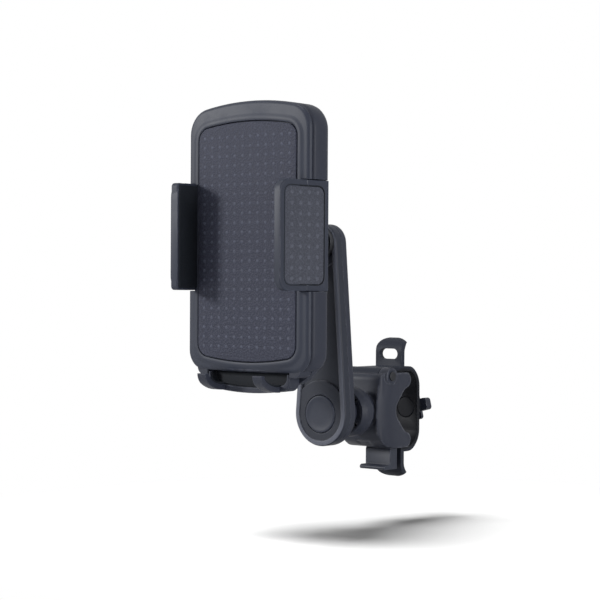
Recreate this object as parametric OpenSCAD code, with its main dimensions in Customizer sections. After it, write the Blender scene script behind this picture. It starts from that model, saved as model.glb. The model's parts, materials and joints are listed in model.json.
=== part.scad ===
// Phone mount for a 22.2 mm handlebar: a hinged clamp with a quick latch and a
// thumb screw, a swivelling arm, a ball joint and a spring-jaw cradle.
// Millimetres. X runs along the handlebar, -Y faces the rider, +Z is up.
// The origin is the centre of the bar, at the middle of the clamp.

/* [Handlebar clamp] */
// Radius that the saddle pad offers to the bar
bar_r = 11.3; // [10:0.1:13]
// Width of the clamp body along the bar
clamp_w = 24; // [20:0.5:30]
// How far the cheeks swell beyond the clamp body on each side
cheek_swell = 1.2; // [0.4:0.1:2]
// Half height of the clamp body
clamp_half_h = 18.6; // [17.5:0.1:22]
// Distance from the bar centre to the front face of the clamp body
clamp_front = 29.2; // [27:0.1:34]
// Half angle of the V saddle
saddle_angle = 46; // [42:1:50]
// Radius at the bottom of the V saddle
saddle_fillet = 6; // [4:0.5:8]
// Gap between the V of the body and the bar
saddle_rim_gap = 0.6; // [0.4:0.1:1.2]
// Depth that the rubber pad is let into the V
pad_pocket = 1.2; // [0.8:0.1:1.5]
// Width of the rubber saddle pad along the bar
saddle_pad_w = 20; // [14:0.5:21]

/* [Yoke] */
// Width of the yoke at its ears
yoke_w = 16.2; // [13:0.1:18]
// Width of the yoke behind the bar
yoke_back_w = 14.4; // [12:0.1:16]
// Thickness of the yoke plate
yoke_t = 2.5; // [2:0.1:3]
// Thickness of the yoke behind the bar
yoke_back_t = 2.0; // [1.6:0.1:3]
// Outer radius of the two rear bends
yoke_bend = 10.5; // [6:0.5:12]
// Front face of the ears, in front of the bar centre
ear_front = 3.4; // [3:0.1:5]
// Height of the top ear's straight part above the bar centre
ear_straight = 28.4; // [26:0.1:34]
// Outer radius of the curled ear tips
ear_curl = 8; // [5:0.1:10]
// Length of the finger hole in the top ear
ear_hole_l = 11; // [8:0.1:12]
// Height of the finger hole in the top ear
ear_hole_h = 5.2; // [4.6:0.1:6]
// Height of the finger hole's centre above the bar centre
ear_hole_z = 27.6; // [25:0.1:28]
// Distance of the yoke hinge in front of the bar centre
hinge_y = 18.5; // [14:0.1:18.6]
// Outer radius of the yoke hinge knuckle
hinge_r = 4.2; // [3.4:0.1:4.6]
// Radius of the yoke hinge pin
hinge_pin_r = 1.6; // [1.2:0.1:2]

/* [Latch] */
// Width of the latch lever
latch_w = 15.4; // [12:0.1:16]
// Distance of the latch pin in front of the bar centre
latch_y = 9; // [8.6:0.1:10]
// Distance of the latch pin below the bar centre
latch_z = 16; // [15.6:0.1:17]
// Radius of the lever's eye
latch_eye_r = 2.5; // [2:0.1:2.8]
// Radius of the latch pin
latch_pin_r = 1.2; // [0.8:0.1:1.5]
// Depth of the latch block from front to back
latch_t = 5.6; // [4.6:0.1:6]
// Height of the latch block
latch_h = 8.1; // [7.6:0.1:9]
// Thickness of the thumb lip
lip_t = 2; // [1.4:0.1:2.6]
// How far the thumb lip stands forward of the block
lip_reach = 3.9; // [2:0.1:6]
// Width of the hook nose
nose_w = 5.6; // [4:0.1:7]

/* [Thumb screw] */
// Radius of the screw
screw_r = 2.5; // [2:0.1:3]
// Radius of the pressure pad
press_r = 5.1; // [4.4:0.1:5.6]
// Thickness of the pressure pad
press_t = 2.2; // [1.6:0.1:2.8]
// Travel of the pressure pad towards the bar
press_travel = 2.5; // [1:0.1:3]
// Radius of the boss behind the yoke
boss_r = 6.4; // [6:0.1:7]
// Height of the boss behind the yoke
boss_h = 1.9; // [1.4:0.1:3]
// Radius of the knob's hub
knob_hub_r = 3.6; // [3:0.1:6]
// Radius to the tips of the knob's wings
knob_tip_r = 8.2; // [7:0.1:11]
// Width of a knob wing
knob_wing_w = 6.2; // [4:0.1:7]
// Length of the knob along the screw
knob_l = 4; // [3:0.1:8]
// Angle of the knob's wings above the bar direction
knob_angle = 14; // [0:1:60]

/* [Knuckle] */
// Distance from the bar centre to the arm's front face
arm_front = 58.2; // [56:0.1:62]
// Radius of the arm's neck
neck_r = 7; // [6:0.1:7.5]
// Outer radius of the collar that takes the neck
collar_r = 9.4; // [9:0.1:10]
// Length of the collar in front of the clamp body
collar_l = 8.8; // [7:0.1:9]
// Outer radius of the lock ring
ring_r = 12; // [11.4:0.1:14]
// Length of the lock ring
ring_l = 6.5; // [5:0.1:7]
// Number of flats round the lock ring
ring_flats = 14; // [12:1:24]
// Radius of the pivot bolt
bolt_r = 2.5; // [2:0.1:3]
// Radius of the pivot bolt's head
bolt_head_r = 5; // [4:0.1:6]

/* [Arm] */
// Distance between the knuckle and the ball joint
arm_len = 82; // [76:1:90]
// Radius of the arm's lower end
arm_r_low = 15.5; // [14:0.1:17]
// Radius of the arm's upper end
arm_r_top = 9.3; // [9.2:0.1:12]
// Thickness of the arm
arm_t = 9; // [8.8:0.1:11]
// Width of the bevel round the arm's faces
arm_bevel = 1.5; // [0.8:0.1:2]
// Thickness of the arm's front cover
arm_cover_t = 4.5; // [4.2:0.1:5]
// Radius of the round cap over the pivot bolt
cap_r = 9; // [8:0.1:10]
// Width of the raised rim round the arm's pocket
arm_rim = 4.4; // [3:0.1:5]
// Depth of the pocket in the arm's front face
arm_pocket = 1.1; // [0.6:0.1:1.4]

/* [Ball joint] */
// Radius of the ball
ball_r = 8.5; // [7.5:0.1:9]
// Distance from the arm's front face to the ball's centre
ball_reach = 20.8; // [20:0.1:24]
// Radius of the stud's neck
stud_r = 4.6; // [4:0.1:5]
// Radius of the stud's foot
stud_foot_r = 8.2; // [7:0.1:8.6]
// Thickness of each socket liner
liner_t = 0.9; // [0.8:0.1:1.2]
// Wall of the socket's collar
socket_wall = 1.8; // [1.4:0.1:2.4]
// Outer radius of the ball lock ring
ball_ring_r = 16; // [15.4:0.1:18]
// Radius of the socket's foot on the cradle
socket_foot_r = 17; // [16:0.1:20]
// Thickness of the socket's foot
socket_foot_t = 3; // [2:0.1:4]
// Radius of the screws in the socket's foot
socket_screw_r = 1.1; // [0.8:0.1:1.4]
// Thickness of the stud's foot
stud_foot_t = 2.6; // [2:0.1:4]
// Radius of the screw that holds the stud
stud_bolt_r = 2.4; // [2:0.1:2.8]
// Number of grip flutes round the ball lock ring
ring_grips = 12; // [8:1:16]

/* [Cradle] */
// Width of the cradle
cradle_w = 73.4; // [70:0.2:80]
// Height of the cradle
cradle_h = 124; // [116:1:140]
// Depth of the cradle
cradle_t = 15; // [15:0.1:18]
// Radius of the cradle's corners
cradle_corner = 12; // [8:0.5:16]
// Radius of the arched top and bottom edges
cradle_arch = 150; // [120:5:400]
// Height of the cradle's centre above the ball
cradle_lift = 2; // [0:0.5:8]
// Depth of the front cover's edge
cover_t = 3.5; // [3:0.1:4]
// Margin beside the phone pad
pad_side = 7.2; // [6.5:0.1:9]
// Margin above the phone pad
pad_head = 9.7; // [6:0.1:12]
// Margin below the phone pad
pad_foot = 4.8; // [4.6:0.1:9]
// Corner radius of the phone pad
pad_corner = 6; // [4:0.5:10]
// Thickness of the phone pad
pad_t = 1.6; // [1.2:0.1:1.8]
// Width of the raised rim round the phone pad
platform_rim = 2.6; // [1.5:0.1:3]
// Wall of the rear housing
wall = 1.8; // [1.4:0.1:2.2]

/* [Jaws] */
// Height of the jaws
jaw_h = 49.5; // [44:0.5:58]
// Reach of the jaws in front of the cradle
jaw_reach = 15.2; // [12:0.1:20]
// Thickness of the jaw tips
jaw_t = 4; // [3:0.1:4.4]
// Lean of each jaw's outer face from the cradle's back to its tip
jaw_lean = 3.6; // [1:0.1:4]
// Corner radius of the jaws
jaw_corner = 6.5; // [3:0.5:8]
// Travel of each jaw
jaw_travel = 14; // [6:1:16]
// Width of the rack bars
rack_w = 11; // [8:0.5:12]
// Thickness of the rack bars and the pinion
rack_t = 3; // [2:0.1:3.4]
// Radius of the pinion's pin
pin_r = 2; // [1.5:0.1:2.5]
// Thickness of the grip panels on the jaws
grip_t = 1; // [0.6:0.1:1.4]
// Margin round the grip panels
grip_margin = 2.6; // [2:0.1:5]
// Thickness of the rubber inside the jaw lips
lip_pad_t = 1; // [0.6:0.1:1.4]
// Number of teeth on the pinion
pinion_teeth = 12; // [12:2:16]
// Module of the rack teeth
tooth_module = 1; // [0.8:0.1:1.1]

/* [Foot] */
// Width of the foot slide
foot_w = 47; // [40:0.5:50]
// Width of the foot slide's stem inside the cradle
foot_stem_w = 40; // [30:0.5:42]
// Thickness of the foot slide
foot_t = 3; // [2:0.1:3.2]
// Height of the hooks' underside below the cradle's lower edge
foot_drop = 9.6; // [7:0.1:14]
// Distance between the centres of the two hooks
hook_gap = 33.6; // [26:0.2:38]
// Width of each hook
hook_w = 5.2; // [4:0.1:8]
// Reach of the hooks in front of the cradle
hook_reach = 11.6; // [10:0.1:18]
// Outer radius of the hooks' bend
hook_bend = 6; // [4:0.1:7]
// Thickness of the hooks
hook_t = 2.6; // [2:0.1:3.4]
// Length of the foot slide inside the cradle
foot_in = 24; // [18:0.5:30]
// Radius of the foot slide's lower corners
foot_corner = 4; // [3:0.5:10]
// Travel of the foot slide
foot_travel = 12; // [6:1:14]

/* [Fits] */
// Radial clearance of turning fits
run_gap = 0.06; // [0.03:0.01:0.1]
// Clearance between parts that move past each other
gap = 0.3; // [0.25:0.05:0.5]

/* [Hidden] */
$fn = 64;
far = 60;
sliver = 0.01;
blend = 0.02;
pin_gap = 0.02;
end_round = 3.5;

// Handlebar clamp
half_clamp = clamp_w / 2;
rim_r = bar_r + saddle_rim_gap;
nut_depth = 5.4;
nut_slot = 3.4;
nut_slot_r = 4.4;
nut_slot_w = 8;
saddle_apex = rim_r / sin(saddle_angle);
horn_r = 3.7;
curl_end = 114;
ear_round = 4.7;
ear_round_over = 0.15;
lower_ear_cut = 1.4;
knob_lug = [7.6, 14.2];
knob_lug_t = 1.6;
panel_groove = 0.35;
ring_mouth_r = 10.6;
ring_cone_l = 3.4;
hook_sweep = 18;
hook_change = 238;
hook_pad_t = 0.8;
rail_t = 2;
pocket_w = 11.5;
pocket_x = 14.8;
saddle_reach = 16.5;
clamp_face = clamp_front - 3.4;
face_round = 1.8;
cheek_from = 10;
cheek_arc = 52;
cheek_rise = 1.8;
cheek_end_round = 6;
cheek_peak = 43;
cheek_low = 32;
cheek_edge_drop = 2.5;
cheek_inner_drop = 0.9;
hinge_z = clamp_half_h + gap + yoke_t - hinge_r;
yoke_top = clamp_half_h + gap + yoke_t;
yoke_in = bar_r + 0.1;
yoke_back = yoke_in + yoke_back_t;
lug_out = half_clamp + cheek_swell + 0.4;

// Latch
nose_drop = 8.9;
nose_z = -latch_z - nose_drop;
nose_h = 2.4;
barb_h = 0.4;
window_top = nose_z + nose_h / 2 + gap;
window_low = window_top - 5.7;
ear_back = yoke_t - ear_front;
latch_front = -latch_y - latch_t / 2;
latch_top = -clamp_half_h - 1;
block_low = latch_top - latch_h;
latch_room = 1.6;

// Thumb screw
press_seat = yoke_in + press_t + 0.3;
boss_back = yoke_back + boss_h;
knob_y = boss_back + press_travel + gap + 0.2;

// Knuckle and arm
arm_back = arm_front - arm_t;
collar_front = clamp_front + collar_l;
ring_front = -collar_front - 0.4;
neck_end = collar_front - 7;
split = arm_front - arm_cover_t;
ball_y = -arm_front - ball_reach;
tangent = asin((arm_r_low - arm_r_top) / arm_len);

// Ball joint
liner1_in = ball_r + run_gap;
liner1_out = liner1_in + liner_t;
liner2_in = liner1_out + run_gap;
liner2_out = liner2_in + liner_t;
socket_in = liner2_out + run_gap;
collar_out = socket_in + socket_wall;
liner_lip = 4.4;

// Cradle
cradle_back = -ball_y + 18;
cradle_front = cradle_back + cradle_t;
cradle_split = cradle_front - cover_t;
cradle_z = arm_len + cradle_lift;
inner_back = cradle_back + wall;
pad_w = cradle_w - 2 * pad_side;
pad_h = cradle_h - pad_head - pad_foot;
pad_z = cradle_z + (pad_foot - pad_head) / 2;
cover_screw_x = cradle_w / 2 - 10;
cover_screw_z = cradle_h / 2 - 14;
cover_screw_r = 1.2;
cover_post_r = 3.2;
jaw_back_x = cradle_w / 2 + 0.1;
jaw_tip_x = jaw_back_x - jaw_lean;
notch_x = jaw_back_x - jaw_t - 0.7;

// Jaws
jaw_len = jaw_reach + cradle_t - 0.5;
jaw_draft = atan(jaw_lean / jaw_len);
pitch_r = tooth_module * pinion_teeth / 2;
pitch = PI * tooth_module;
addendum = 0.62 * tooth_module;
dedendum = 0.95 * tooth_module;
backlash = 0.2;
rack_front = inner_back + gap + rack_t;
rack_in = -jaw_travel - 4;
flank = 20;

// Foot
foot_z = cradle_z - cradle_h / 2 - foot_drop;
foot_front = rack_front + 2 * gap + foot_t;
block_front = cradle_front - 2;
hook_z = foot_z + cradle_arch - sqrt(pow(cradle_arch, 2) - pow(hook_gap / 2, 2));
hook_rise = hook_sweep - (hook_bend - hook_sweep) * sin(hook_change);

// Jaw springs
spring_z = pitch_r + dedendum + rack_w + 3.4;
spring_post_x = 8;
spring_post_far = 22;
spring_end = 2.6;
spring_turns = 9;
spring_r = 1.25;
wire_r = 0.35;

shell_grey = [0.10, 0.11, 0.14];
dark_grey = [0.06, 0.065, 0.08];
rubber_grey = [0.045, 0.05, 0.06];
steel_grey = [0.62, 0.63, 0.65];

// ---- shared shapes ----

// Points along an arc, from angle a0 to angle a1
function arc(centre, r, a0, a1, n = 10) =
    [for (i = [0 : n]) let (a = a0 + (a1 - a0) * i / n) centre + r * [cos(a), sin(a)]];

// Turns a Z axis into +Y, starting at a given y
module along_y(y) {
    translate([0, y, 0]) rotate([-90, 0, 0]) children();
}

// Drawing plane seen from the front: 2D x is X and 2D y is Z
module front_slab(y_front, depth) {
    translate([0, y_front + depth, 0]) rotate([90, 0, 0]) linear_extrude(depth) children();
}

// Drawing plane seen from the side: 2D x is Y and 2D y is Z
module side_slab(width) {
    translate([-width / 2, 0, 0]) rotate([90, 0, 90]) linear_extrude(width) children();
}

module rounded(size, r) {
    half = size / 2;
    hull_free = [half.x - r, half.y - r];
    square([size.x, 2 * hull_free.y], center = true);
    square([2 * hull_free.x, size.y], center = true);
    for (sx = [-1, 1], sy = [-1, 1]) translate([sx * hull_free.x, sy * hull_free.y]) circle(r);
}

module ring(r_out, r_in, h) {
    difference() {
        cylinder(h = h, r = r_out);
        translate([0, 0, -1]) cylinder(h = h + 2, r = r_in);
    }
}

module x_rod(x0, x1, y, z, r) {
    translate([x0, y, z]) rotate([0, 90, 0]) cylinder(h = x1 - x0, r = r);
}

// ---- handlebar clamp ----

// Centre of the round tip beside the saddle; its circle touches the bar's rim
function horn_centre() = let (z = -clamp_half_h + horn_r)
    [-sqrt(pow(rim_r + horn_r, 2) - z * z), z];

// Side outline of the clamp body, with the V saddle facing +Y
module clamp_outline(face, edge) {
    low = horn_centre();
    high = [low.x, -low.y];
    touch = atan2(-low.y, -low.x);
    front = -face + edge;
    notch = [-saddle_apex + saddle_fillet / sin(saddle_angle), 0];
    polygon(concat(
        arc([front, -clamp_half_h + edge], edge, 180, 270, 8),
        arc(low, horn_r, 270, 360 + touch, 10),
        arc([0, 0], rim_r - sliver, 178 + touch, 272 - saddle_angle, 4),
        arc(notch, saddle_fillet, 270 - saddle_angle, 90 + saddle_angle, 10),
        arc([0, 0], rim_r - sliver, 88 + saddle_angle, 182 - touch, 4),
        arc(high, horn_r, -touch, 90, 10),
        arc([front, clamp_half_h - edge], edge, 90, 180, 8)));
}

// Middle of the body: rounded upright edges at the front
module clamp_core() {
    inner = half_clamp - face_round;
    intersection() {
        side_slab(2 * far) clamp_outline(clamp_face, end_round);
        translate([0, 0, -far]) linear_extrude(2 * far) polygon(concat(
            arc([-inner, face_round - clamp_face], face_round, 180, 270, 6),
            arc([inner, face_round - clamp_face], face_round, 270, 360, 6),
            [[half_clamp, far], [-half_clamp, far]]));
    }
}

// Half width of the swollen sides at a distance from the centre of their front arc
function cheek(r) = half_clamp + cheek_swell - (r > cheek_peak
    ? cheek_edge_drop * pow((r - cheek_peak) / (cheek_arc - cheek_peak), 2.2)
    : cheek_inner_drop * pow((cheek_peak - r) / (cheek_peak - cheek_low), 2));

module cheeks() {
    steps = 16;
    edge = [for (i = [0 : steps]) let (r = cheek_low + (cheek_arc - cheek_low) * i / steps) [r, cheek(r)]];
    for (s = [0, 1]) mirror([s, 0, 0]) intersection() {
        side_slab(2 * far) clamp_outline(clamp_front - cheek_rise, cheek_end_round);
        translate([0, cheek_arc - clamp_front + cheek_rise, 0]) rotate([0, 90, 0]) rotate_extrude()
            polygon(concat([[0, cheek_from], [0, cheek(cheek_low)]], edge, [[cheek_arc, cheek_from]]));
    }
}

module pad_pocket_shape(depth, width, reach) {
    grown_apex = (rim_r + depth) / sin(saddle_angle);
    centre = [-grown_apex + saddle_fillet / sin(saddle_angle), 0];
    dir = [cos(saddle_angle), sin(saddle_angle)];
    top = [-grown_apex, 0] + reach * dir;
    side_slab(width) polygon(concat([top], arc(centre, saddle_fillet, 90 + saddle_angle,
        270 - saddle_angle, 10), [[top.x, -top.y]]));
}

module clamp_body() {
    color(shell_grey) difference() {
        union() {
            clamp_core();
            cheeks();
            for (s = [-1, 1])
                x_rod(min(s * lug_out, s * (yoke_w / 2 + gap)), max(s * lug_out, s * (yoke_w / 2 + gap)),
                    -hinge_y, hinge_z, hinge_r);
            along_y(-collar_front) cylinder(h = collar_front - clamp_face + 1, r = collar_r);
        }
        pad_pocket_shape(pad_pocket, saddle_pad_w + 2 * pin_gap, saddle_reach + run_gap);
        hinge_notch();
        latch_pocket();
        along_y(-collar_front - 1) cylinder(h = 1 + collar_front - neck_end + gap, r = neck_r + run_gap);
        along_y(-neck_end - 1) cylinder(h = neck_end - 14, r = bolt_r + pin_gap);
        along_y(-clamp_front + nut_depth) cylinder(h = nut_slot, r = nut_slot_r, $fn = 6);
        translate([-nut_slot_w / 2, -clamp_front + nut_depth, -clamp_half_h - 1])
            cube([nut_slot_w, nut_slot, clamp_half_h + 1]);
        collar_slots();
        x_rod(-far, far, -hinge_y, hinge_z, hinge_pin_r + pin_gap);
        x_rod(-latch_w / 2 - 2.2, latch_w / 2 + 2.2, -latch_y, -latch_z, latch_pin_r + pin_gap);
    }
}

module hinge_notch() {
    width = yoke_w + 2 * gap;
    x_rod(-width / 2, width / 2, -hinge_y, hinge_z, hinge_r + gap);
    translate([-width / 2, -hinge_y - hinge_r - gap, hinge_z]) cube([width, 2 * (hinge_r + gap), far]);
}

module latch_pocket() {
    width = latch_w + 2 * gap;
    x_rod(-width / 2, width / 2, -latch_y, -latch_z, latch_eye_r + gap);
    translate([-width / 2, latch_front - latch_room, -far])
        cube([width, latch_t + latch_room + gap, far - latch_z]);
}

module collar_slots() {
    for (a = [45 : 90 : 315])
        rotate([0, a, 0]) translate([-0.6, -collar_front - 1, 0]) cube([1.2, 6, collar_r + 2]);
}

module saddle_pad() {
    color(rubber_grey) difference() {
        pad_pocket_shape(pad_pocket - pin_gap, saddle_pad_w, saddle_reach);
        x_rod(-far, far, 0, 0, bar_r);
        for (x = [-saddle_pad_w / 2 + 4 : 4 : saddle_pad_w / 2 - 3.9])
            translate([x, 0, 0]) rotate([0, 90, 0]) translate([0, 0, -0.5]) ring(bar_r + 0.5, 1, 1);
    }
}

module yoke_pin() {
    color(steel_grey) {
        x_rod(-lug_out, lug_out, -hinge_y, hinge_z, hinge_pin_r);
        for (s = [-1, 1])
            x_rod(min(s * lug_out, s * (lug_out + 0.6)), max(s * lug_out, s * (lug_out + 0.6)),
                -hinge_y, hinge_z, hinge_pin_r + 0.7);
    }
}

module latch_pin() {
    color(steel_grey) x_rod(-latch_w / 2 - 2.1, latch_w / 2 + 2.1, -latch_y, -latch_z, latch_pin_r);
}

// ---- yoke, latch and thumb screw ----

module tongue(z_low, z_high) {
    translate([-ear_front, z_low]) square([yoke_t, z_high - z_low]);
}

// Curled tip at the end of an ear
module curl(z) {
    centre = [-ear_front + ear_curl, z];
    polygon(concat(arc(centre, ear_curl, 180, curl_end, 8), arc(centre, ear_curl - yoke_t, curl_end, 180, 8)));
}

module yoke_outline() {
    inner_h = clamp_half_h + gap;
    difference() {
        polygon(concat([[-hinge_y, -yoke_top]],
            arc([yoke_back - yoke_bend, -yoke_top + yoke_bend], yoke_bend, 270, 360),
            arc([yoke_back - yoke_bend, yoke_top - yoke_bend], yoke_bend, 0, 90),
            [[-hinge_y, yoke_top]]));
        bend_in = yoke_bend - yoke_back_t;
        polygon(concat([[-far, -inner_h]],
            arc([yoke_in - bend_in, -inner_h + bend_in], bend_in, 270, 360),
            arc([yoke_in - bend_in, inner_h - bend_in], bend_in, 0, 90),
            [[-far, inner_h]]));
        translate([-far, -far]) square([far - ear_front, far]);
    }
    translate([-hinge_y, hinge_z]) circle(hinge_r);
    tongue(inner_h, ear_straight);
    curl(ear_straight);
    mirror([0, 1]) tongue(inner_h, ear_straight - lower_ear_cut);
    mirror([0, 1]) curl(ear_straight - lower_ear_cut);
}

// Plan shape: full width at the ears, narrower behind the bar
module yoke_plan() {
    translate([0, 0, -far]) linear_extrude(2 * far) polygon([
        [-yoke_w / 2, -far], [yoke_w / 2, -far], [yoke_w / 2, 1.5], [yoke_back_w / 2, yoke_back - 3],
        [yoke_back_w / 2, far], [-yoke_back_w / 2, far], [-yoke_back_w / 2, yoke_back - 3],
        [-yoke_w / 2, 1.5]]);
}

module ear_front_view() {
    tip = ear_straight + ear_curl * sin(curl_end);
    low = tip - lower_ear_cut;
    front_slab(-far, 2 * far) translate([0, (tip - low) / 2])
        rounded([yoke_w, tip + low + 2 * ear_round_over], ear_round);
}

module yoke() {
    color(shell_grey) difference() {
        union() {
            intersection() {
                side_slab(yoke_w) yoke_outline();
                yoke_plan();
                ear_front_view();
            }
            along_y(yoke_back - 0.5) cylinder(h = boss_h + 0.5, r = boss_r);
        }
        along_y(yoke_in - 1) cylinder(h = 1 + press_seat - yoke_in, r = press_r + 0.2);
        along_y(yoke_in) cylinder(h = far, r = screw_r + run_gap);
        x_rod(-far, far, -hinge_y, hinge_z, hinge_pin_r + run_gap);
        finger_hole();
        translate([-nose_w / 2 - 0.5, -ear_front - 1, window_low])
            cube([nose_w + 1, yoke_t + 2, window_top - window_low]);
    }
}

module finger_hole() {
    offset_x = (ear_hole_l - ear_hole_h) / 2;
    for (s = [-1, 1])
        translate([s * offset_x, 0, ear_hole_z]) along_y(-ear_front - 1)
            cylinder(h = yoke_t + 2, r = ear_hole_h / 2);
    translate([-offset_x, -ear_front - 1, ear_hole_z - ear_hole_h / 2])
        cube([2 * offset_x, yoke_t + 2, ear_hole_h]);
}

module pressure_pad() {
    color(rubber_grey) along_y(bar_r) cylinder(h = press_t, r = press_r);
}

module clamp_screw() {
    color(steel_grey) along_y(bar_r + press_t) cylinder(h = knob_y - bar_r - press_t, r = screw_r);
}

module clamp_knob() {
    color(shell_grey) {
        along_y(knob_y) cylinder(h = knob_l, r = knob_hub_r);
        rotate([0, -knob_angle, 0]) {
            front_slab(knob_y, knob_l) rounded([2 * knob_tip_r, knob_wing_w], 1.6);
            front_slab(knob_y, knob_lug_t) rounded(knob_lug, 1.5);
        }
    }
}

module latch_outline() {
    eye = [-latch_y, -latch_z];
    translate(eye) circle(latch_eye_r);
    translate([-latch_y - latch_eye_r, latch_top - 1]) square([2 * latch_eye_r, latch_z * -1 - latch_top + 1]);
    translate([latch_front, block_low]) square([latch_t, latch_h]);
    translate([latch_front - lip_reach, block_low - lip_t]) square([latch_t + lip_reach, lip_t + 0.2]);
    translate([latch_front - lip_reach, block_low - lip_t / 2]) circle(lip_t / 2);
}

module nose_outline() {
    barb_y = ear_back + 0.6;
    tip_y = barb_y + 1.2;
    translate([latch_front + latch_t - 0.1, nose_z - nose_h / 2])
        square([tip_y - latch_front - latch_t + 0.1, nose_h]);
    polygon([[barb_y, nose_z], [tip_y, nose_z], [tip_y, nose_z + nose_h / 2 + 0.2],
        [barb_y + 0.3, window_top + barb_h], [barb_y, window_top + barb_h]]);
}

module latch_lever() {
    color(shell_grey) difference() {
        union() {
            side_slab(latch_w) latch_outline();
            side_slab(nose_w) nose_outline();
        }
        x_rod(-far, far, -latch_y, -latch_z, latch_pin_r + run_gap);
        spring_room();
    }
}

// Slot in the lever's eye for the return spring
module spring_room() {
    x_rod(-2.4, 2.4, -latch_y, -latch_z, latch_eye_r + 0.1);
}

module latch_spring() {
    color(steel_grey) {
        for (i = [0 : 3]) translate([-1.5 + i, -latch_y, -latch_z]) rotate([0, 90, 0])
            translate([0, 0, -0.5]) ring(latch_pin_r + 0.7, latch_pin_r + run_gap, 1);
    }
}

// ---- knuckle ----

module pivot_bolt() {
    color(steel_grey) {
        along_y(-split - 1.6) cylinder(h = split + 1.6 - clamp_front + 9.6, r = bolt_r);
        along_y(-split - 1.6) cylinder(h = 2, r = bolt_head_r);
    }
}

module pivot_nut() {
    color(steel_grey) difference() {
        along_y(-clamp_front + nut_depth) cylinder(h = nut_slot - 0.2, r = nut_slot_r - 0.1, $fn = 6);
        along_y(-clamp_front) cylinder(h = 12, r = bolt_r);
    }
}

module knuckle_lock_ring() {
    flats = 360 / ring_flats;
    corner_r = ring_r + 0.3;
    color(shell_grey) difference() {
        along_y(ring_front) intersection() {
            rotate([0, 0, flats / 2]) linear_extrude(ring_l)
                polygon([for (i = [0 : ring_flats - 1]) corner_r * [cos(i * flats), sin(i * flats)]]);
            union() {
                cylinder(h = ring_cone_l, r1 = ring_mouth_r, r2 = corner_r + 0.2);
                translate([0, 0, ring_cone_l]) cylinder(h = ring_l, r = corner_r + 0.2);
            }
        }
        along_y(ring_front - 1) cylinder(h = ring_l + 2, r = collar_r + run_gap);
    }
}

// ---- arm ----

// Racetrack outline of the arm, narrower at the top
module arm_outline(inset) {
    low = arm_r_low - inset;
    top = arm_r_top - inset;
    circle(low);
    translate([0, arm_len]) circle(top);
    side = [cos(tangent), sin(tangent)];
    from = (low - blend) * side;
    to = (top - blend) * side + [0, arm_len];
    polygon([from, to, [-to.x, to.y], [-from.x, from.y]]);
}

// Solid of the arm between two planes, with a bevel on one face
module arm_block(y_flat, y_face) {
    depth = abs(y_flat - y_face) - arm_bevel;
    y_mid = y_flat < y_face ? y_flat : y_face + arm_bevel;
    bevel_y = y_flat < y_face ? y_face - arm_bevel : y_face;
    front_slab(y_mid, depth) arm_outline(0);
    steps = 3;
    for (i = [1 : steps]) {
        step = arm_bevel / steps;
        inset = arm_bevel * (1 - sqrt(1 - pow((i - 0.5) / steps, 2)));
        y = y_flat < y_face ? bevel_y + (i - 1) * step : bevel_y + (steps - i) * step;
        front_slab(y - sliver, step + 2 * sliver) arm_outline(inset);
    }
}

module pocket_outline() {
    difference() {
        arm_outline(arm_rim);
        circle(arm_r_low + 0.6);
        translate([0, arm_len]) circle(stud_foot_r + 3.4);
    }
}

module arm_front_cover() {
    color(shell_grey) difference() {
        arm_block(-split, -arm_front);
        front_slab(-arm_front - 1, arm_pocket + 1) pocket_outline();
        along_y(-arm_front - 1) cylinder(h = 2.4, r = cap_r + 0.25);
        along_y(-split - 2.2) cylinder(h = 3, r = bolt_head_r + gap);
        translate([0, 0, arm_len]) along_y(-arm_front - 1) cylinder(h = far, r = stud_bolt_r + pin_gap);
        arm_screw_places() along_y(-split - 2.1) cylinder(h = 3, r = 1.1 + pin_gap);
    }
}

module arm_rear_shell() {
    color(dark_grey) difference() {
        union() {
            arm_block(-split, -arm_back);
            along_y(-arm_back - 1) cylinder(h = 1 + arm_back - neck_end, r = neck_r);
        }
        along_y(-split - 1) cylinder(h = far, r = bolt_r + run_gap);
        along_y(-split - 1) cylinder(h = 1.7, r = bolt_head_r + gap);
        translate([0, 0, arm_len]) {
            along_y(-split - 1) cylinder(h = far, r = stud_bolt_r + pin_gap);
            along_y(-arm_back - 2.2) cylinder(h = 4, r = 4.7);
        }
        arm_screw_places() {
            along_y(-split - 1) cylinder(h = far, r = 1.1 + pin_gap);
            along_y(-arm_back - 1.6) cylinder(h = 3, r = 2.2);
        }
    }
}

module arm_screw_places() {
    for (z = [24, 62]) translate([0, 0, z]) children();
}

module knuckle_cap() {
    color(shell_grey) {
        along_y(-arm_front) cylinder(h = 1.35, r = cap_r);
    }
}

module arm_screws() {
    color(steel_grey) arm_screw_places() {
        along_y(-split - 2) cylinder(h = split + 2 - arm_back - 1.5, r = 1.1);
        along_y(-arm_back - 1.6) cylinder(h = 1.3, r = 2.1);
    }
}

// ---- ball joint ----

module at_ball() {
    translate([0, ball_y, arm_len]) children();
}

module ball_stud() {
    foot_y = -arm_front - stud_foot_t;
    color(dark_grey) difference() {
        union() {
            at_ball() sphere(ball_r);
            translate([0, 0, arm_len]) {
                along_y(ball_y) cylinder(h = foot_y - ball_y, r = stud_r);
                along_y(foot_y - 2) cylinder(h = 2, r1 = stud_r, r2 = stud_foot_r - 1);
                along_y(foot_y) cylinder(h = stud_foot_t, r = stud_foot_r);
            }
        }
        translate([0, 0, arm_len]) along_y(foot_y - 7) cylinder(h = far, r = stud_bolt_r + pin_gap);
    }
}

module stud_screw() {
    color(steel_grey) translate([0, 0, arm_len]) {
        along_y(-arm_front - stud_foot_t - 6.8)
            cylinder(h = arm_front + stud_foot_t + 6.8 - arm_back - 2, r = stud_bolt_r);
        along_y(-arm_back - 2.2) cylinder(h = 1.9, r = 4.4);
    }
}

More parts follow.
